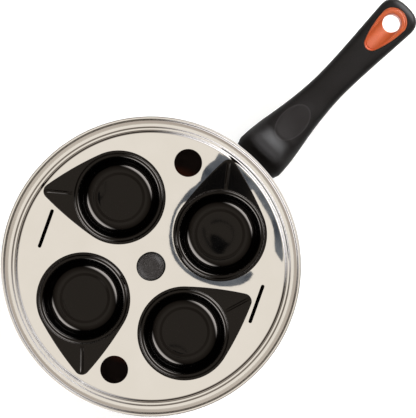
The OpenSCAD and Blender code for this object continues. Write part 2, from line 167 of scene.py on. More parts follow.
# %% Heights and radii that follow from them
lip_r = RIM_R - LIP_W
wall_r = lip_r - SEAT_W
floor_z = BASE_T + SHELL_T
seat_z = PAN_H - LIP_H
flange_z = seat_z + TRAY_T
plate_z = flange_z - TRAY_DEPTH
ring_z = flange_z - RING_DROP
step_out_r = wall_r - TRAY_GAP - TRAY_T - STEP_LEAN
step_in_r = step_out_r - RING_W - 2 * STEP_LEAN
tray_r = step_out_r + STEP_LEAN + FLANGE_W
opening_r = MOUTH_R + CUP_T + CUP_PLAY
cup_floor_z = CUP_T - CUP_DEPTH
bead_z = CUP_T + BEAD_H
bead_r = MOUTH_R + BEAD_W
tip_x = RIM_R + HANDLE_LEN
tip_z = PAN_H + TIP_RISE
neck_top_z = seat_z - 3.5
neck_bottom_z = neck_top_z - NECK_T
thumb_z = tip_z - 5.8
rest_x = RIM_R + 37.1
insert_x = tip_x - 4.8 - INSERT_R
insert_span = INSERT_LEN - INSERT_R - INSERT_TIP_R
hang_x = insert_x - 1.3
insert_top_z = tip_z - 0.6
screw_x = RIM_R + 32.0
print(f"overall length {RIM_R + tip_x:.0f} mm, plate of the tray {plate_z:.1f} mm up")

# %% [markdown]
# ## Drawing a sheet's profile
# Pressed steel never has a sharp corner: every bend has a radius. A profile is written as the
# few corners that matter, each with its radius, and two small helpers do the rest. One rounds
# the corners, the other lays a second line beside the first, a sheet's thickness away.

# %% Rounded corners
MM = 0.001
BEND_STEP = 6.0


def rounded(points, step=BEND_STEP):
    """Points (x, y) or (x, y, radius); every corner that has a radius becomes an arc."""
    path = []
    for i, point in enumerate(points):
        here = Vector(point[:2])
        if len(point) < 3 or i in (0, len(points) - 1):
            path.append(here)
            continue
        back = (Vector(points[i - 1][:2]) - here).normalized()
        on = (Vector(points[i + 1][:2]) - here).normalized()
        half = math.acos(max(-1.0, min(1.0, back.dot(on)))) / 2
        middle = here + (back + on).normalized() * point[2] / math.sin(half)
        start = here + back * point[2] / math.tan(half) - middle
        side = 1 if back.x * on.y - back.y * on.x > 0 else -1
        turn = side * (math.pi - 2 * half)
        count = max(3, math.ceil(math.degrees(abs(turn)) / step))
        for k in range(count + 1):
            a = -turn * k / count
            swung = Vector((start.x * math.cos(a) - start.y * math.sin(a),
                            start.x * math.sin(a) + start.y * math.cos(a)))
            path.append(middle + swung)
    return path


# %% A line beside a line
def beside(path, distance):
    """The same path moved to its right by distance."""
    moved = []
    for i, point in enumerate(path):
        before = (point - path[i - 1]) if i else (path[1] - point)
        after = (path[i + 1] - point) if i < len(path) - 1 else before
        n1 = Vector((before.y, -before.x)).normalized()
        n2 = Vector((after.y, -after.x)).normalized()
        middle = (n1 + n2).normalized()
        moved.append(point + middle * distance / middle.dot(n1))
    return moved


# %% A sheet with a rounded free edge
def sheet_outline(points, thickness, nose_steps=8):
    """From the axis along the visible side, round the free edge, and back along the other side."""
    top = rounded(points)
    under = beside(top, thickness)
    ahead = (top[-1] - top[-2]).normalized()
    across = (top[-1] - under[-1]) / 2
    middle = (top[-1] + under[-1]) / 2 - ahead * thickness / 2
    nose = []
    for k in range(nose_steps + 1):
        a = math.pi * k / nose_steps
        nose.append(middle + across * math.cos(a) + ahead * math.sin(a) * thickness / 2)
    return top[:-1] + nose + under[-2::-1]


# %% [markdown]
# ## Turning a profile with Geometry Nodes
# A pan, a cap, a tray and a knob are all spun on a lathe or pressed in a round tool, so their
# shape is one profile turned round an axis. The Spin tool does this once. A Geometry Nodes tree
# does it as a rule: the profile is swept along a circle that is a thousandth of a millimetre
# across, which puts every point of the profile at its own distance from the axis.

# %% Small helpers for node trees


def new_tree(name, inputs):
    """A geometry tree with named inputs, and one geometry going out."""
    tree = bpy.data.node_groups.new(name, "GeometryNodeTree")
    for label, kind in inputs:
        tree.interface.new_socket(label, in_out="INPUT", socket_type="NodeSocket" + kind)
    tree.interface.new_socket("Geometry", in_out="OUTPUT", socket_type="NodeSocketGeometry")
    return tree


def feed(tree, socket, value):
    """Fills an input with another node's output, with a colour or with a plain value."""
    if isinstance(value, bpy.types.NodeSocket):
        tree.links.new(value, socket)
    elif socket.type == "RGBA":
        socket.default_value = (*value, 1)
    else:
        socket.default_value = value


def add(tree, kind, inputs=None, **settings):
    """A node with its settings, and each named input fed by a value or by another node."""
    node = tree.nodes.new(kind)
    for setting, value in settings.items():
        setattr(node, setting, value)
    for label, value in (inputs or {}).items():
        feed(tree, node.inputs[label], value)
    return node


def result(tree, kind, inputs=None, **settings):
    """What a new node hands out first, which for most nodes is all that they hand out."""
    return add(tree, kind, inputs, **settings).outputs[0]


def calc(tree, operation, *values):
    """One step of arithmetic on numbers or sockets."""
    return result(tree, "ShaderNodeMath", dict(enumerate(values)), operation=operation)


def vectors(tree, operation, *values):
    """One step of vector arithmetic; a length comes out as a number."""
    node = add(tree, "ShaderNodeVectorMath", dict(enumerate(values)), operation=operation)
    return node.outputs["Value" if operation == "LENGTH" else "Vector"]


def axes(tree, vector):
    """The outputs X, Y and Z of a vector."""
    return add(tree, "ShaderNodeSeparateXYZ", {0: vector}).outputs


def vector_of(tree, **parts):
    """A vector from some of X, Y and Z; the others are zero."""
    return result(tree, "ShaderNodeCombineXYZ", parts)


def finish_tree(tree, geometry, finish):
    """Ends a tree with real geometry, not instances, in one material."""
    solid = result(tree, "GeometryNodeRealizeInstances", {"Geometry": geometry})
    paint = result(tree, "GeometryNodeSetMaterial", {"Geometry": solid, "Material": finish})
    add(tree, "NodeGroupOutput", {"Geometry": paint})
    return tree


def set_inputs(modifier, values):
    """Fills a modifier's inputs, which Blender stores by the socket's identifier."""
    for item in modifier.node_group.interface.items_tree:
        if item.in_out == "INPUT" and item.name in values:
            modifier[item.identifier] = values[item.name]


def run_tree(obj, name, tree, values):
    """Gives an object a modifier that runs a geometry tree with these inputs."""
    modifier = obj.modifiers.new(name, "NODES")
    modifier.node_group = tree
    set_inputs(modifier, values)


# %% The tree that turns a profile
AXIS_CIRCLE_R = 1e-6
WELD_DISTANCE = 3e-6


def build_turning_tree():
    tree = new_tree("turned profile", [("Geometry", "Geometry"), ("Segments", "Int"),
                                       ("Finish", "Material")])
    given = add(tree, "NodeGroupInput").outputs
    profile = result(tree, "GeometryNodeMeshToCurve", {"Mesh": given["Geometry"]})
    circle = result(tree, "GeometryNodeCurvePrimitiveCircle",
                    {"Resolution": given["Segments"], "Radius": AXIS_CIRCLE_R})
    axis = result(tree, "GeometryNodeSetCurveNormal", {"Curve": circle}, mode="Z_UP")
    sweep = result(tree, "GeometryNodeCurveToMesh", {"Curve": axis, "Profile Curve": profile})
    weld = result(tree, "GeometryNodeMergeByDistance",
                  {"Geometry": sweep, "Distance": WELD_DISTANCE})
    smooth = result(tree, "GeometryNodeSetShadeSmooth", {"Geometry": weld})
    return finish_tree(tree, smooth, given["Finish"])


turning_tree = build_turning_tree()

# %% [markdown]
# ## Finishing a piece
# Every piece ends in the same way. Its modifiers are worked out and left behind, its edges are
# marked sharp where the surface really turns a corner, and its normals are weighted by face
# area. That last step matters on polished metal: a wide flat face keeps exactly flat normals
# right up to its bend, so it mirrors like a flat sheet and not like a lens.

# %% From modifiers to a plain mesh


def worked_out(obj):
    """Keeps what the object's modifiers make of it as its own mesh, and drops them."""
    depsgraph = bpy.context.evaluated_depsgraph_get()
    mesh = bpy.data.meshes.new_from_object(obj.evaluated_get(depsgraph))
    mesh.name = obj.name
    obj.modifiers.clear()
    obj.data = mesh
    return mesh


def settle(obj, sharp=40.0, weighted=True):
    """The object with its modifiers applied, smooth shading and area-weighted normals."""
    mesh = worked_out(obj)
    mesh.polygons.foreach_set("use_smooth", [True] * len(mesh.polygons))
    mesh.set_sharp_from_angle(angle=math.radians(sharp))
    if weighted:
        weight = obj.modifiers.new("flat faces keep flat normals", "WEIGHTED_NORMAL")
        weight.mode = "FACE_AREA"
        weight.keep_sharp = True
        worked_out(obj)
    return obj


def place(obj, body, slot, *replaced):
    """Puts a finished piece in the scene's books: its body and what it stands for; the slot is not
    used.
    """
    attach(obj, body)
    if replaced:
        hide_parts(*replaced)
    triangles = sum(len(face.vertices) - 2 for face in obj.data.polygons)
    print(f"{obj.name}: {triangles} triangles, rides on {body}")
    return obj


# %% An object from points, a skin over rows of points, and a turned piece
def new_object(name, verts, faces, finish=None, edges=()):
    """An object in the scene, from points in metres."""
    mesh = bpy.data.meshes.new(name)
    mesh.from_pydata(verts, edges, faces)
    if finish:
        mesh.materials.append(finish)
    obj = bpy.data.objects.new(name, mesh)
    scene.collection.objects.link(obj)
    return obj


def numbered(rows):
    """The points of all rows in one list, and each row as numbers in that list."""
    points, numbers = [], []
    for row in rows:
        numbers.append([len(points) + k for k in range(len(row))])
        points += row
    return points, numbers


def skin(rows):
    """Faces between neighbouring rows, each closed into a ring; one number alone is a tip."""
    faces = []
    for inner, outer in zip(rows, rows[1:]):
        count = max(len(inner), len(outer))
        for k in range(count):
            n = (k + 1) % count
            if len(inner) == 1:
                faces.append((inner[0], outer[k], outer[n]))
            elif len(outer) == 1:
                faces.append((inner[k], outer[0], inner[n]))
            else:
                faces.append((inner[k], outer[k], outer[n], inner[n]))
    return faces


def turned(name, outline, finish, segments=256, height=0.0):
    """An object whose outline, in millimetres from its axis and up, is turned round Z."""
    points = [(max(p[0], 0) * MM, -(p[1] + height) * MM, 0) for p in outline]
    edges = [(i, i + 1) for i in range(len(points) - 1)]
    if outline[0][0] > 0:
        edges.append((len(points) - 1, 0))
    obj = new_object(name, points, [], edges=edges)
    run_tree(obj, "turn", turning_tree, {"Segments": segments, "Finish": finish})
    return obj


# %% [markdown]
# ## Finishes
# No real surface is perfectly even. Polished steel carries fine round polishing marks and a few
# smears, a non-stick coating has a faint orange peel, and moulded plastic has a fine grain.
# These effects are shared, so each is a node group with named inputs. A group only hands out
# colours, masks and heights, and the shader itself stays in the material.

# %% Helpers for shader groups


def new_group(name, inputs, outputs):
    group = bpy.data.node_groups.new(name, "ShaderNodeTree")
    for label, kind, value in inputs:
        socket = group.interface.new_socket(label, in_out="INPUT", socket_type="NodeSocket" + kind)
        if value is not None:
            socket.default_value = value
    for label, kind in outputs:
        group.interface.new_socket(label, in_out="OUTPUT", socket_type="NodeSocket" + kind)
    return group


# %% Round polishing marks
def build_round_marks():
    """Fine rings round the Z axis, broken up along their length, from 0 to 1."""
    group = new_group("round polishing marks",
                      [("Vector", "Vector", None), ("Spacing mm", "Float", 0.5)],
                      [("Height", "Float")])
    given = add(group, "NodeGroupInput").outputs
    place_on = axes(group, given["Vector"])
    from_axis = vectors(group, "LENGTH", vector_of(group, X=place_on["X"], Y=place_on["Y"]))
    spacing = calc(group, "MULTIPLY", given["Spacing mm"], MM)
    ring_place = vector_of(group, X=calc(group, "DIVIDE", from_axis, spacing),
                           Y=calc(group, "ARCTAN2", place_on["Y"], place_on["X"]),
                           Z=place_on["Z"])
    noise = result(group, "ShaderNodeTexNoise",
                   {"Vector": ring_place, "Scale": 1.0, "Detail": 3.0, "Roughness": 0.6})
    add(group, "NodeGroupOutput", {"Height": noise})
    return group


# %% Smears and orange peel
def build_soft_patches():
    """Soft patches of a chosen size in millimetres, from 0 to 1."""
    group = new_group("soft patches",
                      [("Vector", "Vector", None), ("Size mm", "Float", 20.0),
                       ("Detail", "Float", 3.0)],
                      [("Value", "Float")])
    given = add(group, "NodeGroupInput").outputs
    noise = result(group, "ShaderNodeTexNoise",
                   {"Vector": given["Vector"], "Detail": given["Detail"], "Roughness": 0.55,
                    "Scale": calc(group, "DIVIDE", 1 / MM, given["Size mm"])})
    add(group, "NodeGroupOutput", {"Value": noise})
    return group


round_marks = build_round_marks()
soft_patches = build_soft_patches()


# %% The parts that most materials share
MASK_LOW = 0.3
MASK_HIGH = 0.7
TINT_LOW = 0.35
TINT_HIGH = 0.65


def new_finish(name, color, metallic, roughness, specular=0.5):
    """A material with a Principled shader whose even values sit on its own sockets."""
    material = bpy.data.materials.new(name)
    material.use_nodes = True
    shader = material.node_tree.nodes["Principled BSDF"]
    for label, value in (("Base Color", color), ("Metallic", metallic),
                         ("Roughness", roughness), ("Specular IOR Level", specular)):
        feed(material.node_tree, shader.inputs[label], value)
    return material, shader


def on_piece(tree):
    """Where a point lies on its own piece."""
    return add(tree, "ShaderNodeTexCoord").outputs["Object"]


def place_group(material, group, **values):
    """A node group in a material, reading Object coordinates."""
    tree = material.node_tree
    inputs = {label.replace("_", " "): value for label, value in values.items()}
    return result(tree, "ShaderNodeGroup", {"Vector": on_piece(tree), **inputs},
                  node_tree=group)


def mapped(tree, mask, low, high, start=MASK_LOW, end=MASK_HIGH, **settings):
    """A number from low to high, while the mask goes from start to end."""
    return result(tree, "ShaderNodeMapRange",
                  {"Value": mask, "From Min": start, "From Max": end, "To Min": low,
                   "To Max": high}, **settings)


def spread(material, mask, socket, low, high):
    """Maps a mask onto a socket, from low to high."""
    feed(material.node_tree, socket, mapped(material.node_tree, mask, low, high))


def relief(material, shader, source, depth_mm, strength, below=None):
    """A bump of the given depth in millimetres, on top of an earlier one if there is one."""
    inputs = {"Height": source, "Strength": strength, "Distance": depth_mm * MM}
    if below is not None:
        inputs["Normal"] = below
    bump = result(material.node_tree, "ShaderNodeBump", inputs)
    feed(material.node_tree, shader.inputs["Normal"], bump)
    return bump


def ramp(tree, mask, stops):
    """A colour that runs through the stops, each a place on the ramp and a colour."""
    node = add(tree, "ShaderNodeValToRGB", {"Fac": mask})
    elements = node.color_ramp.elements
    while len(elements) < len(stops):
        elements.new(0.5)
    for element, (level, color) in zip(elements, stops):
        element.position = level
        element.color = (*color, 1)
    return node.outputs["Color"]


def tint(material, mask, shader, dark, light):
    """Colours between two tones, mixed by a mask."""
    color = ramp(material.node_tree, mask, [(TINT_LOW, dark), (TINT_HIGH, light)])
    feed(material.node_tree, shader.inputs["Base Color"], color)


def mixed(tree, mask, first, second, kind="RGBA"):
    """From first to second by a mask: colours, or numbers if the kind is FLOAT."""
    node = add(tree, "ShaderNodeMix", {0: mask}, data_type=kind)
    socket_type = "RGBA" if kind == "RGBA" else "VALUE"
    ends = [socket for socket in node.inputs if socket.type == socket_type][-2:]
    feed(tree, ends[0], first)
    feed(tree, ends[1], second)
    return [socket for socket in node.outputs if socket.type == socket_type][0]


def toned(tree, shader, label, mask, value, kind="RGBA"):
    """Where the mask is one, this input of the shader has the new value instead."""
    socket = shader.inputs[label]
    feed(tree, socket, mixed(tree, mask, socket.links[0].from_socket, value, kind))


# %% [markdown]
# ### Polished steel
# The tray and the pan are stainless steel with a mirror polish. In the photograph the steel
# looks cream, because it mirrors a pale ceiling and adds a trace of yellow of its own. The
# polish is kept sharp, with faint round marks, and slow smears that change the gloss a little.
#
# Only the pan's lip and seat are polished. Below the seat the faces that look up are the
# inside, which is satin: its wall is painted dark as shade, and its floor is painted red-brown
# as a glow of reflected light, which the steam holes show. The faces that look down are the
# outside, which is brushed.

# %% Polished steel
# Painted light inside the pan: the floor's red-brown is a painted glow of reflected light, and the
# wall's dark colour is painted shade.
FLOOR_PAINTED_GLOW = (0.38, 0.135, 0.088)
WALL_PAINTED_SHADE = (0.12, 0.088, 0.08)
OUTSIDE_GREY = (0.33, 0.325, 0.32)
PAINTED_GLOW_FROM_R = 68.0
PAINTED_GLOW_TO_R = 76.0


def build_polished_steel(name, marks_mm, roughness):
    material, shader = new_finish(name, (0.775, 0.76, 0.74), 1.0, roughness)
    smears = place_group(material, soft_patches, Size_mm=26.0, Detail=4.0)
    spread(material, smears, shader.inputs["Roughness"], roughness * 0.7, roughness * 1.5)
    tint(material, smears, shader, (0.765, 0.75, 0.725), (0.785, 0.77, 0.75))
    marks = place_group(material, round_marks, Spacing_mm=marks_mm)
    relief(material, shader, marks, 0.0006, 0.12)
    return material, shader


def finish_pan_below_painted_light(material, shader, inside_r, top_z):
    """Below the seat the inside is satin, painted dark as shade on the wall and red-brown as
    reflected glow on the floor; the outside is brushed, not polished.
    """
    tree = material.node_tree
    coordinates = add(tree, "ShaderNodeTexCoord").outputs
    flat = vectors(tree, "MULTIPLY", coordinates["Object"], (1, 1, 0))
    from_axis = vectors(tree, "LENGTH", flat)
    facing = axes(tree, coordinates["Normal"])["Z"]
    below = calc(tree, "LESS_THAN", axes(tree, coordinates["Object"])["Z"], top_z * MM)
    low_inside = calc(tree, "MULTIPLY", calc(tree, "LESS_THAN", from_axis, inside_r * MM), below)
    inner_face = calc(tree, "MULTIPLY", low_inside, calc(tree, "GREATER_THAN", facing, 0.0))
    outer_face = calc(tree, "MULTIPLY", below, calc(tree, "LESS_THAN", facing, 0.0))
    outward = mapped(tree, from_axis, 0.0, 1.0, PAINTED_GLOW_FROM_R * MM, PAINTED_GLOW_TO_R * MM,
                     interpolation_type="SMOOTHSTEP")
    # Painted colours: red-brown reflected glow on the floor, dark shade on the wall; the satin
    # roughness below is real.
    painted_inside_tone = mixed(tree, outward, FLOOR_PAINTED_GLOW, WALL_PAINTED_SHADE)
    for mask, color, roughness in ((inner_face, painted_inside_tone, 0.75), (outer_face, OUTSIDE_GREY, 0.3)):
        toned(tree, shader, "Base Color", mask, color)
        toned(tree, shader, "Roughness", mask, roughness, "FLOAT")


polished_steel = build_polished_steel("polished_steel", 0.35, 0.012)[0]
spun_steel, spun_shader = build_polished_steel("polished_steel_pan", 0.5, 0.05)
finish_pan_below_painted_light(spun_steel, spun_shader, wall_r - 0.3, seat_z - 0.5)

# %% [markdown]
# ### Brushed steel, aluminium and brass
# These sit underneath or inside. The cap of the base is turned, so its marks are round and
# deeper, and the small parts are plain zinc-bright steel.

# %% Metal underneath and inside


def build_turned_metal(name, color, roughness, marks_mm, depth_mm):
    material, shader = new_finish(name, color, 1.0, roughness)
    marks = place_group(material, round_marks, Spacing_mm=marks_mm)
    spread(material, marks, shader.inputs["Roughness"], roughness * 0.75, roughness * 1.3)
    relief(material, shader, marks, depth_mm, 0.6)
    return material


brushed_steel = build_turned_metal("brushed_steel", (0.60, 0.59, 0.57), 0.3, 0.6, 0.01)
small_steel = build_turned_metal("brushed_steel_small", (0.62, 0.62, 0.61), 0.26, 0.3, 0.004)
aluminium = build_turned_metal("aluminium_core", (0.75, 0.76, 0.77), 0.4, 0.8, 0.01)
brass = build_turned_metal("brass", (0.75, 0.55, 0.25), 0.3, 0.4, 0.004)

# %% [markdown]
# ### Non-stick coating
# A sprayed coating is black with a trace of brown, and glossy rather than mirror-like. Its
# orange peel is a shallow bump a few millimetres across, which makes highlights wander a little.

# %% Non-stick


def build_non_stick():
    material, shader = new_finish("non_stick", (0.0007, 0.0006, 0.0005), 0.0, 0.14, 0.24)
    shader.inputs["Specular Tint"].default_value = (1.0, 0.9, 0.82, 1)
    peel = place_group(material, soft_patches, Size_mm=3.2, Detail=1.0)
    grain = place_group(material, soft_patches, Size_mm=0.5, Detail=2.0)
    spread(material, grain, shader.inputs["Roughness"], 0.035, 0.06)
    tint(material, grain, shader, (0.0005, 0.0004, 0.0004), (0.0010, 0.0008, 0.0007))
    first = relief(material, shader, peel, 0.004, 0.2)
    relief(material, shader, grain, 0.001, 0.15, first)
    return material


non_stick = build_non_stick()

# %% [markdown]
# ### Soft-touch plastic
# The handle has a thin rubbery skin over a hard core. It is almost black, scatters highlights
# widely and has a fine grain that sparkles where the light grazes it.

# %% Handle, knob and insert


def oval_mask(tree, centre, half_length, half_width, edge):
    """1 inside an oval on top of a piece, 0 outside it, with a soft edge. In millimetres."""
    place_on = on_piece(tree)
    from_centre = vectors(tree, "SUBTRACT", place_on, Vector(centre) * MM)
    per_half = (1 / (half_length * MM), 1 / (half_width * MM), 0)
    from_middle = vectors(tree, "LENGTH", vectors(tree, "MULTIPLY", from_centre, per_half))
    within = mapped(tree, from_middle, 0.0, 1.0, 1 + edge, 1 - edge,
                    interpolation_type="SMOOTHSTEP")
    above = calc(tree, "GREATER_THAN", axes(tree, place_on)["Z"], centre[2] * MM)
    return calc(tree, "MULTIPLY", within, above)


def build_soft_touch():
    """The grip's skin. The thumb rest is painted a little paler as a sheen on its dish, and its rim
    paler still as a painted highlight.
    """
    material, shader = new_finish("handle_black", (0.005, 0.0045, 0.004), 0.0, 0.48, 0.14)
    tree = material.node_tree
    worn = place_group(material, soft_patches, Size_mm=16.0, Detail=4.0)
    grain = place_group(material, soft_patches, Size_mm=0.55, Detail=3.0)
    spread(material, worn, shader.inputs["Roughness"], 0.4, 0.54)
    tint(material, grain, shader, (0.0026, 0.0020, 0.0018), (0.0060, 0.0048, 0.0044))
    # Painted light: the thumb rest's dish gets a paler colour as a painted sheen, and the ring at
    # its rim a paler one as a painted highlight.
    centre = (rest_x - 1.5, 0.4, thumb_z - 6)
    rest = oval_mask(tree, centre, REST_LEN * 0.485, REST_W * 0.485, 0.03)
    bottom = oval_mask(tree, centre, REST_LEN * 0.455, REST_W * 0.44, 0.04)
    toned(tree, shader, "Base Color", rest, (0.0105, 0.0088, 0.0086))
    toned(tree, shader, "Base Color", calc(tree, "SUBTRACT", rest, bottom),
          (0.0185, 0.0165, 0.0163))
    first = relief(material, shader, grain, 0.05, 0.55)
    uneven = place_group(material, soft_patches, Size_mm=5.0, Detail=2.0)
    relief(material, shader, uneven, 0.06, 0.5, first)
    return material


def build_knob_black():
    """The knob: a grey handled top inside an edge that is painted dark as shade and made less
    glossy.
    """
    material, shader = new_finish("knob_black", (0.042, 0.038, 0.037), 0.0, 0.33, 0.18)
    tree = material.node_tree
    grain = place_group(material, soft_patches, Size_mm=0.8, Detail=3.0)
    handled = place_group(material, soft_patches, Size_mm=9.0, Detail=2.0)
    tint(material, handled, shader, (0.027, 0.0238, 0.023), (0.033, 0.0295, 0.0285))
    color = shader.inputs["Base Color"]
    # Outside this oval the edge is painted near black as shade under the overhang, and its specular
    # is lowered too.
    top = oval_mask(tree, (0, 0, 0), 9.1, 9.1, 0.05)
    feed(tree, color, mixed(tree, top, (0.003, 0.0026, 0.0022), color.links[0].from_socket))
    feed(tree, shader.inputs["Specular IOR Level"], mapped(tree, top, 0.03, 0.18, 0.0, 1.0))
    spread(material, grain, shader.inputs["Roughness"], 0.27, 0.4)
    relief(material, shader, grain, 0.006, 0.3)
    return material


def build_orange():
    material, shader = new_finish("insert_orange", (0.45, 0.085, 0.023), 0.0, 0.34, 0.3)
    shader.inputs["Subsurface Weight"].default_value = 0.15
    shader.inputs["Subsurface Radius"].default_value = (0.002, 0.0008, 0.0004)
    grain = place_group(material, soft_patches, Size_mm=0.7, Detail=3.0)
    spread(material, grain, shader.inputs["Roughness"], 0.3, 0.42)
    tint(material, grain, shader, (0.41, 0.076, 0.021), (0.49, 0.098, 0.028))
    relief(material, shader, grain, 0.012, 0.4)
    return material


handle_black = build_soft_touch()
knob_black = build_knob_black()
insert_orange = build_orange()

# %% [markdown]
# ## The pan
# One pressed sheet: a flat floor, a rounded corner, a wall that leans outwards, a seat for the
# tray and a rolled lip. It is drawn as one line along the inside and turned.

# %% Pan shell
pan_outline = sheet_outline(
    [(0, floor_z), (wall_r - WALL_LEAN, floor_z, PAN_CORNER_R), (wall_r, seat_z, 0.8),
     (tray_r + 0.1, seat_z, 0.7), (lip_r - 0.1, seat_z + 0.8, 0.9), (lip_r + 0.2, PAN_H, 0.9),
     (RIM_R, PAN_H, 1.0), (RIM_R, PAN_H - CURL_H)], SHELL_T)
pan_shell = settle(turned("pan_shell_spun", pan_outline, spun_steel, 320), 50)
place(pan_shell, "pan", "polished_steel", "pan_shell")

# %% Base cap
cap_outer = rounded([(0, 0), (BASE_R, 0, 1.4), (BASE_R, BASE_T)])
cap_edge = cap_outer[-1] - Vector((CAP_T, 0))
cap_outline = beside(cap_outer, -CAP_T)[:-1] + [cap_edge] + cap_outer[::-1]
base_cap = settle(turned("base_cap_spun", cap_outline, brushed_steel, 256))
place(base_cap, "pan", "brushed_steel", "base_cap")

# %% [markdown]
# ## The tray
# The tray is turned in the same way, with two steps round its edge. Its openings are punched
# in a row round the middle, so a second tree punches any such row: it sweeps one filleted
# rectangle into a punch, copies it onto a circle of points and takes the copies out of the
# sheet. A filleted square whose fillet is half its side is a round hole, so the same tree
# makes the cups' openings, the steam holes, the slots and the screw's hole.

# %% The tree that punches a row of openings
HALF_SIDE = 0.49999
PUNCH_REACH = 0.004


def build_punch_tree():
    tree = new_tree("punched row", [("Geometry", "Geometry"), ("Count", "Int"),
                                    ("Pitch radius", "Float"), ("Start angle", "Float"),
                                    ("Radial size", "Float"), ("Tangential size", "Float"),
                                    ("Height", "Float"), ("Finish", "Material")])
    given = add(tree, "NodeGroupInput").outputs
    sides = (given["Radial size"], given["Tangential size"])
    fillet_r = calc(tree, "MULTIPLY", calc(tree, "MINIMUM", *sides), HALF_SIDE)
    rectangle = result(tree, "GeometryNodeCurvePrimitiveQuadrilateral",
                       {"Width": sides[0], "Height": sides[1]})
    outline = result(tree, "GeometryNodeFilletCurve",
                     {"Curve": rectangle, "Count": 24, "Radius": fillet_r}, mode="POLY")
    shaft = result(tree, "GeometryNodeCurvePrimitiveLine",
                   {"Start": (0, 0, -PUNCH_REACH), "End": (0, 0, PUNCH_REACH)})
    upright = result(tree, "GeometryNodeSetCurveNormal", {"Curve": shaft},
                     mode="MINIMUM_TWIST")
    tool = result(tree, "GeometryNodeCurveToMesh",
                  {"Curve": upright, "Profile Curve": outline, "Fill Caps": True})
    step = calc(tree, "DIVIDE", math.tau, given["Count"])
    turn = calc(tree, "MULTIPLY", result(tree, "GeometryNodeInputIndex"), step)
    spot = result(tree, "ShaderNodeVectorRotate",
                  {"Vector": vector_of(tree, X=given["Pitch radius"]), "Angle": turn},
                  rotation_type="Z_AXIS")
    points = result(tree, "GeometryNodePoints", {"Count": given["Count"], "Position": spot})
    copies = result(tree, "GeometryNodeInstanceOnPoints",
                    {"Points": points, "Instance": tool, "Rotation": vector_of(tree, Z=turn)})
    row = result(tree, "GeometryNodeTransform",
                 {"Geometry": copies, "Rotation": vector_of(tree, Z=given["Start angle"]),
                  "Translation": vector_of(tree, Z=given["Height"])})
    solid = result(tree, "GeometryNodeRealizeInstances", {"Geometry": row})
    cut = result(tree, "GeometryNodeMeshBoolean",
                 {"Mesh 1": given["Geometry"], "Mesh 2": solid}, operation="DIFFERENCE",
                 solver="MANIFOLD")
    return finish_tree(tree, cut, given["Finish"])


punch_tree = build_punch_tree()


def punch(obj, name, count, pitch_r, start_deg, radial, tangential):
    """Punches a row of openings; the sizes are in millimetres."""
    run_tree(obj, name, punch_tree,
             {"Count": count, "Pitch radius": pitch_r * MM,
              "Start angle": math.radians(start_deg), "Radial size": radial * MM,
              "Tangential size": tangential * MM, "Height": plate_z * MM,
              "Finish": polished_steel})


# %% Turn the tray and punch it
tray_outline = sheet_outline(
    [(0, plate_z), (step_in_r + 0.3, plate_z, 1.3), (step_in_r + 2 * STEP_LEAN, ring_z, 0.8),
     (step_out_r, ring_z, 0.4), (step_out_r + STEP_LEAN, flange_z, 0.7), (tray_r, flange_z)],
    TRAY_T)
screw_hole_d = 2 * (KNOB_SCREW_R + KNOB_PLAY)
tray = turned("tray_pressed", tray_outline, polished_steel, 320)
punch(tray, "cup openings", 4, CUP_PITCH_R, CUP_START, 2 * opening_r, 2 * opening_r)
punch(tray, "steam holes", 2, VENT_PITCH_R, CUP_START + 45, VENT_D, VENT_D)
punch(tray, "slots", 2, SLOT_PITCH_R, CUP_START + 135, SLOT_W, SLOT_LEN)
punch(tray, "screw hole", 1, 0, 0, screw_hole_d, screw_hole_d)
rim_edges = tray.modifiers.new("punched edges are never sharp", "BEVEL")
rim_edges.width = 0.12 * MM
rim_edges.segments = 2
rim_edges.limit_method = "ANGLE"
rim_edges.angle_limit = math.radians(60)
settle(tray)
place(tray, "tray", "polished_steel", "poaching_tray")

# %% [markdown]
# ## The knob
# A moulded knob with a narrow waist to grip under. Its top is slightly dished and worn by fingers
# to an even grey, and its edge is painted dark as shade where the knob overhangs.

# %% Turn the knob
knob_outline = rounded(
    [(0, KNOB_H - 1.3), (5.4, KNOB_H - 1.15, 8), (KNOB_R - 1.5, KNOB_H - 0.1, 1.3),
     (KNOB_R, KNOB_H, 1.5), (KNOB_R, KNOB_H - 3.2, 1.0), (WAIST_R, KNOB_H - 6.5, 2.5),
     (WAIST_R, 4, 2.5), (KNOB_FOOT_R, 1.6, 0.6), (KNOB_FOOT_R, 0, 0.6), (0, 0)])
knob = settle(turned("knob_moulded", knob_outline, knob_black, 128, plate_z))
place(knob, "tray", "knob_black", "tray_knob")

# %% [markdown]
# ## The egg cups
# A cup is round, but its flange runs out into a pointed tab. Turning alone can't make that, and
# joining a tab to a turned cup leaves a seam that the gloss would show. So a cup is one grid of
# rings and spokes. Down in the bowl the rings are circles, and across the flange each spoke is
# stretched until its ring reaches the drop-shaped edge. The floor is very slightly dished, as
# a pressed cup's is, and that turns a mirrored camera into a small dark spot.

# %% The drop shape


def drop_reach(angle, r, tip_r, span, edge_r):
    """Distance from the middle of the round end to the drop's edge, in one direction."""
    cx = ((edge_r - r) ** 2 - (edge_r - tip_r) ** 2 + span * span) / (2 * span)
    cy = math.sqrt((edge_r - r) ** 2 - cx * cx)
    big = math.atan2(cy, -cx)
    small = math.atan2(cy, span - cx)
    a = abs(math.atan2(math.sin(angle), math.cos(angle)))
    ray = Vector((math.cos(a), math.sin(a)))
    tip_edge = Vector((span, 0)) + tip_r * Vector((math.cos(small), math.sin(small)))
    if a >= big:
        return r
    if a <= math.atan2(tip_edge.y, tip_edge.x):
        centre, radius = Vector((span, 0)), tip_r
    else:
        centre, radius = Vector((cx, -cy)), edge_r
    along = centre.dot(ray)
    return along + math.sqrt(radius * radius - centre.dot(centre) + along * along)


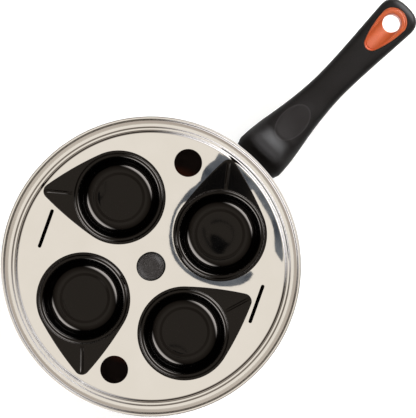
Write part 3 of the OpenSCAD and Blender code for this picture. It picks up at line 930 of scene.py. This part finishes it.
# %% A cup's rings
SPOKES = 264
FLOOR_SAG = 0.32
TAB_BIAS = 0.86
BEAD_FOOT = 0.3
FLANGE_EDGE_R = 0.35
FLANGE_SHARES = (0.04, 0.12, 0.25, 0.4, 0.55, 0.7, 0.82, 0.92)


def bowl_profile():
    """The bowl's inside from the middle of the floor up to the bead, and down to the flange."""
    step_z = cup_floor_z + DISC_DROP
    return rounded(
        [(0, cup_floor_z), (DISC_R, cup_floor_z, 1.2), (DISC_R + 1.9, step_z, 1.2),
         (MOUTH_R - CUP_LEAN, step_z, CUP_CORNER_R),
         (MOUTH_R, bead_z, BEAD_CORNER_R), (bead_r - 0.9, bead_z, 1.3),
         (bead_r + 0.05, CUP_T, 0.5), (CUP_R, CUP_T)])


def dished(point):
    """The floor disc sinks a little towards its middle."""
    share = min(point.x / DISC_R, 1)
    return Vector((point.x, point.y - FLOOR_SAG * (1 - share * share)))


def cup_rings():
    """One (share of the flange, radius and height) per ring, for the top and the underside."""
    floor = [Vector((DISC_R * k / 8, cup_floor_z)) for k in range(8)]
    path = floor + bowl_profile()[1:-1]
    under = [p for p in beside(path, CUP_T) if p.y < -0.01]
    rings = [(0.0, dished(p)) for p in path]
    rings += [(share, Vector((0, CUP_T))) for share in FLANGE_SHARES]
    for k in range(5):
        a = math.pi / 2 * k / 4
        rings.append((1.0, Vector((FLANGE_EDGE_R * (math.sin(a) - 1),
                                   CUP_T - FLANGE_EDGE_R * (1 - math.cos(a))))))
    rings += [(1.0, Vector((0, 0.1))), (1.0, Vector((-0.1, 0))), (0.5, Vector((0, 0)))]
    rings.append((0.0, Vector((bead_r - 0.6, 0))))
    rings += [(0.0, dished(p)) for p in reversed(under)]
    return rings


def rib_rise(x, y):
    """Height of the rib that stiffens the tab."""
    start = bead_r + 2.0
    end = TAB_REACH - 1.5
    across = max(0.0, 1 - (y / (RIB_W / 2)) ** 2)
    ends = min(1.0, max(0.0, min(x - start, end - x) / 1.2))
    return RIB_H * across * math.sqrt(ends)


# %% One cup as a mesh
def ring_point(share, point, k):
    """Where spoke k meets a ring, in metres. The spokes are closer together at the tab."""
    even = math.tau * k / SPOKES
    angle = even - TAB_BIAS * math.sin(even)
    radius = point.x
    if share > 0:
        foot_r = bead_r + BEAD_FOOT
        reach = drop_reach(angle, CUP_R, TAB_TIP_R, TAB_REACH - TAB_TIP_R, TAB_EDGE_R)
        radius = foot_r + share * (reach - foot_r) + point.x
    x, y, z = radius * math.cos(angle), radius * math.sin(angle), point.y
    if share > 0 and abs(z - CUP_T) < 0.01:
        z += rib_rise(x, y)
    return (x * MM, y * MM, z * MM)


def build_cup(name):
    rows = []
    for share, point in cup_rings():
        if point.x <= 0.001 and share == 0:
            rows.append([(0, 0, point.y * MM)])
        else:
            rows.append([ring_point(share, point, k) for k in range(SPOKES)])
    verts, numbers = numbered(rows)
    mesh = bpy.data.meshes.new(name)
    mesh.from_pydata(verts, [], skin(numbers))
    mesh.materials.append(non_stick)
    return mesh


cup_mesh = build_cup("cup_pressed")
print("a cup's mesh:", len(cup_mesh.polygons), "faces")

# %% [markdown]
# The four cups are one cup, each turned to its own angle. A small tree seats the cup:
# it turns it, moves it out to its opening, swings it round the tray and shifts it within the
# opening's play.

# %% The tree that seats a cup


def build_seating_tree():
    tree = new_tree("seated cup", [("Geometry", "Geometry"), ("Turn", "Float"),
                                   ("Pitch radius", "Float"), ("Place angle", "Float"),
                                   ("Height", "Float"), ("Shift", "Vector"),
                                   ("Finish", "Material")])
    given = add(tree, "NodeGroupInput").outputs
    out_to = vector_of(tree, X=given["Pitch radius"], Z=given["Height"])
    seat = result(tree, "GeometryNodeTransform",
                  {"Geometry": given["Geometry"], "Translation": out_to,
                   "Rotation": vector_of(tree, Z=given["Turn"])})
    round_tray = result(tree, "GeometryNodeTransform",
                        {"Geometry": seat, "Translation": given["Shift"],
                         "Rotation": vector_of(tree, Z=given["Place angle"])})
    return finish_tree(tree, round_tray, given["Finish"])


seating_tree = build_seating_tree()

# %% Seat the four cups
for k, turn in enumerate(CUP_TURNS):
    cup = bpy.data.objects.new(f"cup_{k + 1}_pressed", cup_mesh.copy())
    scene.collection.objects.link(cup)
    run_tree(cup, "seat", seating_tree,
             {"Turn": math.radians(turn), "Pitch radius": CUP_PITCH_R * MM,
              "Place angle": math.radians(CUP_START + 90 * k), "Height": plate_z * MM,
              "Shift": Vector((*CUP_SHARES[k], 0)) * CUP_PLAY * MM, "Finish": non_stick})
    settle(cup, 55, weighted=False)
    place(cup, f"cup_{k + 1}", "non_stick", f"egg_cup_{k + 1}")

# %% [markdown]
# ## The handle
# A moulded handle has no flat side to start from, so it is lofted: a table says how wide it is
# and how high its top and bottom lie at a few stations, a smooth curve runs through them, and
# each cross-section is a superellipse, which is fuller than an ellipse and softer than a box.

# %% Stations along the handle

# share of the length, half width, height of the top, height of the bottom
STATIONS = [
    (-0.078, NECK_W * 0.35, neck_top_z - 1.6, neck_bottom_z + 0.6),
    (-0.045, NECK_W * 0.44, neck_top_z - 0.6, neck_bottom_z),
    (0, NECK_W * 0.467, neck_top_z, neck_bottom_z - 0.3),
    (0.02, NECK_W / 2, neck_top_z + 0.6, neck_bottom_z + 0.6),
    (0.047, NECK_W * 0.499, thumb_z - 13.6, neck_bottom_z + 2.2),
    (0.071, NECK_W * 0.492, thumb_z - 9.9, neck_bottom_z + 3.9),
    (0.094, NECK_W * 0.483, thumb_z - 6.1, neck_bottom_z + 6.0),
    (0.118, NECK_W * 0.47, thumb_z - 3.1, neck_bottom_z + 8.2),
    (0.141, NECK_W * 0.457, thumb_z - 1.0, neck_bottom_z + 10.5),
    (0.163, NECK_W * 0.443, thumb_z + 0.05, neck_bottom_z + 12.5),
    (0.195, NECK_W * 0.419, thumb_z, thumb_z - THUMB_T - 2),
    (0.308, NECK_W * 0.347, thumb_z + 1.2, thumb_z + 1 - THUMB_T),
    (0.417, GRIP_W * 0.521, thumb_z + 2.1, tip_z - 5 - TAIL_T),
    (0.51, GRIP_W / 2, tip_z - 2.7, tip_z - 3.6 - TAIL_T),
    (0.65, GRIP_W * 0.537, tip_z - 1.2, tip_z - 2 - TAIL_T),
    (0.815, TAIL_W * 0.458, tip_z - 0.3, tip_z - 0.8 - TAIL_T),
    (1, TAIL_W * 0.52, tip_z, tip_z - TAIL_T),
]


def station_curve(share, column):
    """A smooth curve through one column of the stations."""
    def slope(i):
        a, b = max(i - 1, 0), min(i + 1, len(STATIONS) - 1)
        return (STATIONS[b][column] - STATIONS[a][column]) / (STATIONS[b][0] - STATIONS[a][0])
    i = 0
    while i < len(STATIONS) - 2 and share >= STATIONS[i + 1][0]:
        i += 1
    width = STATIONS[i + 1][0] - STATIONS[i][0]
    s = (share - STATIONS[i][0]) / width
    return ((2 * s ** 3 - 3 * s ** 2 + 1) * STATIONS[i][column]
            + (s ** 3 - 2 * s ** 2 + s) * width * slope(i)
            + (3 * s ** 2 - 2 * s ** 3) * STATIONS[i + 1][column]
            + (s ** 3 - s ** 2) * width * slope(i + 1))


# %% The grip's surface
rest_axis_h = ((REST_W / 2) ** 2 - REST_DEPTH ** 2) / (2 * REST_DEPTH)
rest_barrel_r = rest_axis_h + REST_DEPTH
rest_arc_r = ((REST_LEN / 2) ** 2 + REST_DEPTH ** 2) / (2 * REST_DEPTH)
rest_top_z = station_curve((rest_x - RIM_R) / HANDLE_LEN, 2)


def softer_min(a, b, blend):
    """The smaller of two heights, with the corner between them rounded."""
    near = max(blend - abs(a - b), 0) / blend
    return min(a, b) - near * near * blend / 4


def thumb_rest_z(x, y):
    """Height of the thumb rest's bottom: a barrel that lies along the handle."""
    along = x - rest_x
    if abs(along) >= rest_arc_r or abs(along) > REST_LEN:
        return 1e9
    radius = rest_barrel_r - rest_arc_r + math.sqrt(rest_arc_r ** 2 - along ** 2)
    if radius <= abs(y):
        return 1e9
    axis = rest_top_z + rest_axis_h + along * math.tan(math.radians(REST_SLOPE))
    return axis - math.sqrt(radius ** 2 - y ** 2)


def powered(value, exponent):
    return math.copysign(abs(value) ** exponent, value)


def clamped(value):
    return min(1, max(0, value))


def grip_point(x, angle):
    """A point on the grip's skin, in millimetres."""
    share = (x - RIM_R) / HANDLE_LEN
    tail = clamped((x - tip_x + TAIL_LEN) / TAIL_LEN)
    nose = clamped((x - tip_x + NOSE_LEN) / NOSE_LEN)
    half_w = (station_curve(share, 1) + SKIN_T) * (1 - tail ** FULLNESS) ** (1 / FULLNESS)
    top, bottom = station_curve(share, 2), station_curve(share, 3)
    half_t = (top - bottom) / 2 * (0.45 + 0.55 * math.sqrt(1 - nose ** 2))
    y = half_w * powered(math.cos(angle), 2 / FULLNESS)
    upper = math.sin(angle) > 0
    fullness = FULLNESS
    if upper:
        behind_front = clamped((x - RIM_R - FRONT_LEN) / FRONT_BLEND)
        fullness = FRONT_FULLNESS + (FULLNESS - FRONT_FULLNESS) * behind_front
    z = (top + bottom) / 2 + half_t * powered(math.sin(angle), 2 / fullness)
    if upper:
        z = softer_min(z, thumb_rest_z(x, y), 0.35)
    return Vector((x, y, z))


def wall_out_r(z):
    return wall_r + SHELL_T - WALL_LEAN * (seat_z - z) / (seat_z - floor_z)


# %% Loft the grip
GRIP_SIDES = 128


def grip_stations():
    """Places along the handle: close together at the thumb rest and towards the rounded end."""
    xs = []
    x = RIM_R + 1.0
    while x < tip_x - TAIL_LEN:
        xs.append(x)
        x += 0.55 if RIM_R + 6 < x < rest_x + REST_LEN / 2 + 3 else 1.1
    count = 26
    xs += [tip_x - TAIL_LEN + TAIL_LEN * math.sin(math.radians(88.8 * k / count))
           for k in range(count + 1)]
    return xs


def build_grip():
    angles = [math.tau * k / GRIP_SIDES for k in range(GRIP_SIDES)]
    xs = grip_stations()
    start_row = []
    for angle in angles:
        x = wall_r
        for _ in range(6):
            point = grip_point(x, angle)
            x = math.sqrt(max((wall_out_r(point.z) + WALL_GAP) ** 2 - point.y ** 2, 1))
        start_row.append(x)
    rows = [[grip_point(x0 + share * (xs[0] - x0), a) for x0, a in zip(start_row, angles)]
            for share in (0, 0.04, 0.2, 0.4, 0.6, 0.8)]
    rows += [[grip_point(x, a) for a in angles] for x in xs]
    verts, numbers = numbered([[tuple(p * MM) for p in row] for row in rows])
    ends = [tuple(numbers[0]), tuple(reversed(numbers[-1]))]
    return new_object("grip_moulded", verts, skin(numbers) + ends, handle_black)


grip = build_grip()
print("the grip's skin:", len(grip.data.vertices), "points")

# %% [markdown]
# The coloured insert sits in a drop-shaped pocket, and the screw in a round recess under the
# neck. Both are cut out of the loft, with cutters that are made from the same outlines as the
# pieces that go in.

# %% The insert's outline, seen from the hang hole
INSERT_SPOKES = 240


def insert_reach(angle, grow=0.0):
    """Distance from the hole's middle to the insert's edge, found by walking along the ray."""
    direction = Vector((math.cos(angle), math.sin(angle)))
    low, high = 0.0, INSERT_LEN
    for _ in range(40):
        middle = (low + high) / 2
        point = Vector((hang_x - insert_x, 0)) + direction * middle
        around = math.atan2(point.y, -point.x)
        inside = point.length < drop_reach(around, INSERT_R + grow, INSERT_TIP_R + grow,
                                           insert_span, INSERT_EDGE_R + grow)
        low, high = (middle, high) if inside else (low, middle)
    return low


def insert_angles():
    """Directions round the hole, closer together towards the small end."""
    evens = [math.tau * k / INSERT_SPOKES for k in range(INSERT_SPOKES)]
    return [a + 0.8 * math.sin(a) for a in evens]


# %% Cut the pocket, the hole and the screw's recess
SCREW_HEAD_R = 4.6
SCREW_HEAD_PLAY = 0.5


def prism(name, outline, low, high):
    """A closed upright prism over an outline in millimetres."""
    count = len(outline)
    verts = [(x * MM, y * MM, z * MM) for z in (low, high) for x, y in outline]
    faces = [(k, (k + 1) % count, count + (k + 1) % count, count + k) for k in range(count)]
    faces += [tuple(reversed(range(count))), tuple(range(count, 2 * count))]
    return new_object(name, verts, faces)


def oval(half_length, half_width, count, x=0.0):
    """Points round an oval whose middle lies at x."""
    angles = [math.tau * k / count for k in range(count)]
    return [(x + half_length * math.cos(a), half_width * math.sin(a)) for a in angles]


def cut_out(obj, cutter):
    modifier = obj.modifiers.new("cut", "BOOLEAN")
    modifier.operation = "DIFFERENCE"
    modifier.solver = "MANIFOLD"
    modifier.object = cutter


pocket_outline = []
for angle in insert_angles():
    reach = insert_reach(angle, INSERT_GAP)
    pocket_outline.append((hang_x + reach * math.cos(angle), reach * math.sin(angle)))
sleeve_r = HANG_R + SLEEVE_T + INSERT_GAP
recess_r = SCREW_HEAD_R + SCREW_HEAD_PLAY
cutters = [prism("pocket", pocket_outline, insert_top_z - INSERT_T, tip_z + 5),
           prism("sleeve_hole", oval(sleeve_r, sleeve_r, 96, hang_x), 40, tip_z),
           prism("screw_recess", oval(recess_r, recess_r, 96, screw_x), 20, thumb_z - 16.5)]
for cutter in cutters:
    cut_out(grip, cutter)
settle(grip, 38)
for cutter in cutters:
    bpy.data.objects.remove(cutter)
place(grip, "pan", "handle_black", "handle_grip")

# %% [markdown]
# ## The insert
# Seen from above the insert is a drop with a raised rim, and a scoop runs down from its small
# end into the hole. It is one closed skin: each spoke starts at the foot of the outer wall,
# goes over the rim, down the scoop, down the hole and back underneath.

# %% The scoop's height


def scoop_z(x, y):
    """Height of the insert's top at a point, with the scoop taken out of it."""
    axis = insert_top_z - SCOOP_DEPTH + SCOOP_R
    if x < hang_x:
        axis += (hang_x - x) * math.tan(math.radians(SCOOP_ANGLE))
        inside = SCOOP_R ** 2 - y ** 2
    else:
        inside = SCOOP_R ** 2 - y ** 2 - (x - hang_x) ** 2
    if inside <= 0:
        return insert_top_z
    return softer_min(insert_top_z, axis - math.sqrt(inside), 0.3)


# %% Build the insert
RIM_EDGE_R = 0.55
HOLE_EDGE_R = 0.35
RIM_STEP = 0.2
GROOVE_HALF_W = 0.5


def insert_spoke(angle, foot_z, low_z):
    """The points of one spoke, from the foot of the outer wall round to its underside."""
    reach = insert_reach(angle)
    ray = Vector((math.cos(angle), math.sin(angle)))

    def at(distance, z):
        return Vector((hang_x + ray.x * distance, ray.y * distance, z))

    spoke = [at(reach, foot_z), at(reach, foot_z + 3)]
    for k in range(5):
        a = math.pi / 2 * k / 4
        spoke.append(at(reach - RIM_EDGE_R * (1 - math.cos(a)),
                        insert_top_z - RIM_EDGE_R * (1 - math.sin(a))))
    depths = [RIM_EDGE_R + RIM_STEP * k for k in range(1, 11)]
    rest = reach - HANG_R - HOLE_EDGE_R - depths[-1]
    depths += [depths[-1] + rest * k / 36 for k in range(1, 37)]
    for depth in depths:
        point = at(reach - depth, 0)
        groove = GROOVE_DEPTH * max(0, 1 - ((depth - GROOVE_IN) / GROOVE_HALF_W) ** 2)
        spoke.append(at(reach - depth, scoop_z(point.x, point.y) - groove))
    edge_z = spoke[-1].z
    for k in range(1, 4):
        a = math.pi / 2 * k / 3
        spoke.append(at(HANG_R + HOLE_EDGE_R * (1 - math.sin(a)),
                        edge_z - HOLE_EDGE_R * (1 - math.cos(a))))
    spoke += [at(HANG_R, low_z + 0.3), at(HANG_R + 0.3, low_z)]
    return spoke + [at(HANG_R + SLEEVE_T, low_z), at(HANG_R + SLEEVE_T, foot_z)]


def build_insert():
    foot_z = insert_top_z - INSERT_T + INSERT_GAP
    low_z = station_curve((hang_x - RIM_R) / HANDLE_LEN, 3) + 0.4
    rows = [insert_spoke(angle, foot_z, low_z) for angle in insert_angles()]
    verts, numbers = numbered([[tuple(p * MM) for p in row] for row in rows])
    return new_object("insert_moulded", verts, skin(numbers + numbers[:1]), insert_orange)


insert = settle(build_insert(), 50)
place(insert, "pan", "insert_orange", "hang_insert")

# %% [markdown]
# ## Small parts from the frame
# The screws, washers, nut, bush, bracket and the aluminium core keep the frame's own shapes.
# A frame mesh is loose triangles, so each gets a welded copy that can be shaded smooth.

# %% Welded copies


def welded_copy(node, finish, body, slot):
    obj = frame["nodes"][node].copy()
    obj.data = obj.data.copy()
    obj.name = node + "_smooth"
    obj.parent = None
    obj.hide_render = False
    obj.hide_viewport = False
    scene.collection.objects.link(obj)
    weld = obj.modifiers.new("weld", "WELD")
    weld.merge_threshold = 1e-6
    obj.data.materials.clear()
    obj.data.materials.append(finish)
    settle(obj, 30)
    for key in list(obj.keys()):
        if key.startswith("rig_"):
            del obj[key]
    place(obj, body, slot, node)


welded_copy("base_core", aluminium, "pan", "aluminium_core")
for node in ("handle_bracket", "handle_nut", "handle_washer", "handle_screw"):
    welded_copy(node, small_steel, "pan", "brushed_steel")
for node in ("knob_washer", "knob_screw"):
    welded_copy(node, small_steel, "tray", "brushed_steel")
welded_copy("knob_bush", brass, "tray", "brass")

# %% [markdown]
# ## The room that the steel mirrors
# Polished steel shows whatever stands around it. Here that is a pale ceiling, a darker band
# lower down and a white floor. The ceiling makes the plate cream, and the dark band draws the
# thin dark lines in every bend of the rim.
#
# The black pieces need something else: they mirror so little that only a bright card shows in
# them. So on two opposite sides there are two cards, one behind the other. Light linking lets
# the bright one show in everything but the steel, where it puts the bright crescents into the
# cups, and lets the soft one show in the steel alone.

# %% Floor
FLOOR_HALF = 3.0
FLOOR_DROP = 0.0006
FLOOR_GLOW = 0.5


def bare_material(name):
    """A material with no nodes yet, and its tree."""
    material = bpy.data.materials.new(name)
    material.use_nodes = True
    material.node_tree.nodes.clear()
    return material, material.node_tree


def build_floor():
    material, tree = bare_material("floor_white")
    path = add(tree, "ShaderNodeLightPath").outputs
    seen = calc(tree, "MAXIMUM", path["Is Camera Ray"], path["Is Glossy Ray"])
    strength = calc(tree, "MULTIPLY", seen, FLOOR_GLOW)
    glow = result(tree, "ShaderNodeEmission", {"Color": (1, 1, 1), "Strength": strength})
    diffuse = result(tree, "ShaderNodeBsdfDiffuse", {"Color": (0.8, 0.8, 0.8)})
    both = result(tree, "ShaderNodeAddShader", {0: diffuse, 1: glow})
    add(tree, "ShaderNodeOutputMaterial", {"Surface": both})
    corners = [(-1, -1), (1, -1), (1, 1), (-1, 1)]
    floor = new_object("floor", [(x * FLOOR_HALF, y * FLOOR_HALF, 0) for x, y in corners],
                       [(0, 1, 2, 3)], material)
    floor.location.z = -FLOOR_DROP


build_floor()

# %% The room
PICTURE_TURN = 45.3
ROOM_TURN = 130
SIDE_LIFT = 0.15
ROOM_TONES = [(0.0, 0.35, 0.8), (0.03, 0.05, 0.8), (0.17, 0.04, 0.8), (0.34, 0.06, 0.76),
              (0.5, 0.12, 0.74), (0.64, 0.33, 0.75), (0.77, 0.5, 0.76), (0.87, 0.62, 0.79),
              (0.94, 0.75, 0.82), (0.985, 0.97, 0.85), (1.0, 0.97, 0.85)]


def room_azimuth(picture_deg):
    """The pan's own azimuth of a direction that is given as it lies in the picture."""
    return math.radians(picture_deg - PICTURE_TURN)


def build_world():
    """A room whose tone depends on height, a little higher up on two opposite sides."""
    world = bpy.data.worlds.new("room")
    scene.world = world
    world.use_nodes = True
    tree = world.node_tree
    tree.nodes.clear()
    direction = add(tree, "ShaderNodeTexCoord").outputs["Generated"]
    turned_room = result(tree, "ShaderNodeVectorRotate",
                         {"Vector": direction, "Angle": -room_azimuth(ROOM_TURN)},
                         rotation_type="Z_AXIS")
    parts = axes(tree, turned_room)
    two_sided = calc(tree, "SUBTRACT", calc(tree, "MULTIPLY", parts["X"], parts["X"]),
                     calc(tree, "MULTIPLY", parts["Y"], parts["Y"]))
    height = calc(tree, "MULTIPLY_ADD", two_sided, SIDE_LIFT, parts["Z"])
    stops = [(level, (tone, tone * (0.34 + 0.705 * blue), tone * blue))
             for level, tone, blue in ROOM_TONES]
    room = result(tree, "ShaderNodeBackground", {"Color": ramp(tree, height, stops)})
    white = result(tree, "ShaderNodeBackground", {"Color": (1, 1, 1)})
    seen = add(tree, "ShaderNodeLightPath").outputs["Is Camera Ray"]
    mix = result(tree, "ShaderNodeMixShader", {0: seen, 1: room, 2: white})
    add(tree, "ShaderNodeOutputWorld", {"Surface": mix})


build_world()

# %% Lamps and cards
CARD_POWER = 1.4
LAMP_ELEVATION = 35
CARD_ELEVATION = 29

def towards(picture_deg, elevation_deg):
    azimuth = room_azimuth(picture_deg)
    elevation = math.radians(elevation_deg)
    return Vector((math.cos(elevation) * math.cos(azimuth),
                   math.cos(elevation) * math.sin(azimuth), math.sin(elevation)))


def aim(obj, direction, distance):
    obj.location = direction * distance
    obj.rotation_euler = (-direction).to_track_quat("-Z", "Y").to_euler()


def soft_box(name, direction, distance, width, height, power, color):
    """A rectangular lamp that gives the soft light but isn't mirrored itself."""
    lamp = bpy.data.lights.new(name, "AREA")
    lamp.shape = "RECTANGLE"
    lamp.size = width
    lamp.size_y = height
    lamp.energy = power
    lamp.color = color
    obj = bpy.data.objects.new(name, lamp)
    obj.visible_glossy = False
    aim(obj, direction, distance)
    scene.collection.objects.link(obj)


def only_mirrored(obj):
    """Makes an object show in reflections and nowhere else."""
    for ray in ("camera", "diffuse", "transmission", "volume_scatter", "shadow"):
        setattr(obj, "visible_" + ray, False)


def glow_card(name, direction, distance, width, height, peak, color, mirrored_by):
    """An oval card, brightest in its middle, that only the given pieces mirror."""
    material, tree = bare_material(name)
    scaled = vectors(tree, "MULTIPLY", on_piece(tree), (2 / width, 2 / height, 0))
    fade = mapped(tree, vectors(tree, "LENGTH", scaled), 0.0, 1.0, 1.0, 0.3,
                  interpolation_type="SMOOTHERSTEP")
    strength = calc(tree, "MULTIPLY", calc(tree, "POWER", fade, CARD_POWER), peak)
    glow = result(tree, "ShaderNodeEmission", {"Color": color, "Strength": strength})
    clear = result(tree, "ShaderNodeBsdfTransparent")
    both = result(tree, "ShaderNodeAddShader", {0: glow, 1: clear})
    add(tree, "ShaderNodeOutputMaterial", {"Surface": both})
    rim = [(x, y, 0) for x, y in oval(width / 2, height / 2, 64)]
    card = new_object(name, rim, [tuple(range(64))], material)
    aim(card, direction, distance)
    only_mirrored(card)
    card.light_linking.receiver_collection = mirrored_by


mirror_pieces = bpy.data.collections.new("mirror pieces")
other_pieces = bpy.data.collections.new("other pieces")
for obj in (pan_shell, tray):
    mirror_pieces.objects.link(obj)
for obj in scene.objects:
    if obj.type == "MESH" and obj not in (pan_shell, tray):
        other_pieces.objects.link(obj)
for name, picture_deg, on_steel in (("far", 40, 1.2), ("near", 220, 2.5)):
    soft_box("soft_box_" + name, towards(picture_deg, LAMP_ELEVATION), distance=1.5, width=0.9,
             height=0.6, power=11.0, color=(0.93, 0.97, 1.0))
    glow_card("glow_card_" + name, towards(picture_deg, CARD_ELEVATION), distance=1.5, width=3.1,
              height=1.7, peak=20.0, color=(0.95, 0.97, 1.0), mirrored_by=other_pieces)
    glow_card("soft_card_" + name, towards(picture_deg, CARD_ELEVATION), distance=1.6, width=3.6,
              height=1.9, peak=on_steel, color=(0.98, 0.98, 1.03), mirrored_by=mirror_pieces)


# %% Camera
VIEW_WIDTH = 290.4
DISTANCE = 1800.0
SENSOR_W = 36
CAMERA_X = 56.6
CAMERA_Y = -0.1
camera_z = PAN_H + DISTANCE
camera_data = bpy.data.cameras.new("camera")
camera = bpy.data.objects.new("camera", camera_data)
scene.collection.objects.link(camera)
scene.camera = camera
camera_data.sensor_fit = "HORIZONTAL"
camera_data.sensor_width = SENSOR_W
camera_data.lens = SENSOR_W * DISTANCE / VIEW_WIDTH
camera.location = (CAMERA_X * MM, CAMERA_Y * MM, camera_z * MM)
camera.rotation_euler = (0, 0, math.radians(-PICTURE_TURN))
scene.view_settings.view_transform = "Standard"

# %% [markdown]
# ### The dark shape in the plate
# A flat mirror shows what stands straight above it, and that is the camera on its stand. Here
# it is a dark blue-grey card at the camera's own height. Its outline is chosen by its place in
# the picture, laid on the plate, and doubled away from the camera's axis, because a mirror
# halfway sends each ray as far again.

# %% The card above the camera
CARD_ON_PLATE = [(218, 153), (223, 155), (229, 158), (238, 166), (248, 177), (255, 184), (260, 190),
                 (265, 197), (269, 205.5), (273, 213.5), (276, 222), (278.5, 231), (280.5, 240),
                 (281.5, 250), (282, 256), (281, 262), (277, 256), (274, 251), (273.3, 245),
                 (273, 237), (272, 229), (269.5, 221), (266, 213.5), (262, 207), (258.5, 201),
                 (255, 195), (251.5, 189.5), (247, 192), (253, 206), (256, 220), (254, 232),
                 (241, 233), (220, 225), (204, 212), (190, 200), (183, 202), (179.6, 205.5),
                 (176.9, 210), (173.7, 218), (171.9, 227), (171.6, 235), (172.6, 243),
                 (175.2, 252), (179.9, 260), (185.5, 267), (192, 271.5), (199, 274.5),
                 (210, 278), (222, 279), (234, 277), (244, 273.5), (250, 270), (252.5, 273.5),
                 (249, 279), (244, 282.6), (240, 284.4), (230, 286.2), (220, 286), (210, 284),
                 (200, 280.7), (192.5, 277), (186, 272.3), (179.8, 266.3), (174.8, 260),
                 (171.4, 252.5), (169.3, 244), (168.6, 235), (169.4, 226), (171.2, 218),
                 (173.8, 210.3), (177, 204.5), (180.5, 199.5), (184.5, 194), (189, 189),
                 (195, 185), (200, 180), (202, 172), (205, 167), (209, 163), (214, 160)]


PICTURE_W = 416
PICTURE_MIDDLE = Vector((207.5, 208.5))
camera_axis = Vector((CAMERA_X, CAMERA_Y))


def on_the_plate(px, py):
    """The point of the tray's plate, in millimetres, that a point of the picture shows."""
    per_pixel = VIEW_WIDTH * (camera_z - plate_z) / DISTANCE / PICTURE_W
    right = (px - PICTURE_MIDDLE.x) * per_pixel
    up = (PICTURE_MIDDLE.y - py) * per_pixel
    c, s = math.cos(math.radians(PICTURE_TURN)), math.sin(math.radians(PICTURE_TURN))
    return camera_axis + Vector((right * c + up * s, up * c - right * s))


def build_camera_card():
    far = [on_the_plate(px, py) * 2 - camera_axis for px, py in CARD_ON_PLATE]
    material, tree = bare_material("camera_card")
    noise = result(tree, "ShaderNodeTexNoise",
                   {"Vector": on_piece(tree), "Scale": 28.0, "Detail": 3.0})
    color = ramp(tree, noise, [(0.35, (0.06, 0.069, 0.085)), (0.68, (0.18, 0.195, 0.215))])
    glow = result(tree, "ShaderNodeEmission", {"Color": color})
    add(tree, "ShaderNodeOutputMaterial", {"Surface": glow})
    verts = [(point.x * MM, point.y * MM, camera_z * MM) for point in far]
    only_mirrored(new_object("camera_card", verts, [tuple(range(len(verts)))], material))


build_camera_card()
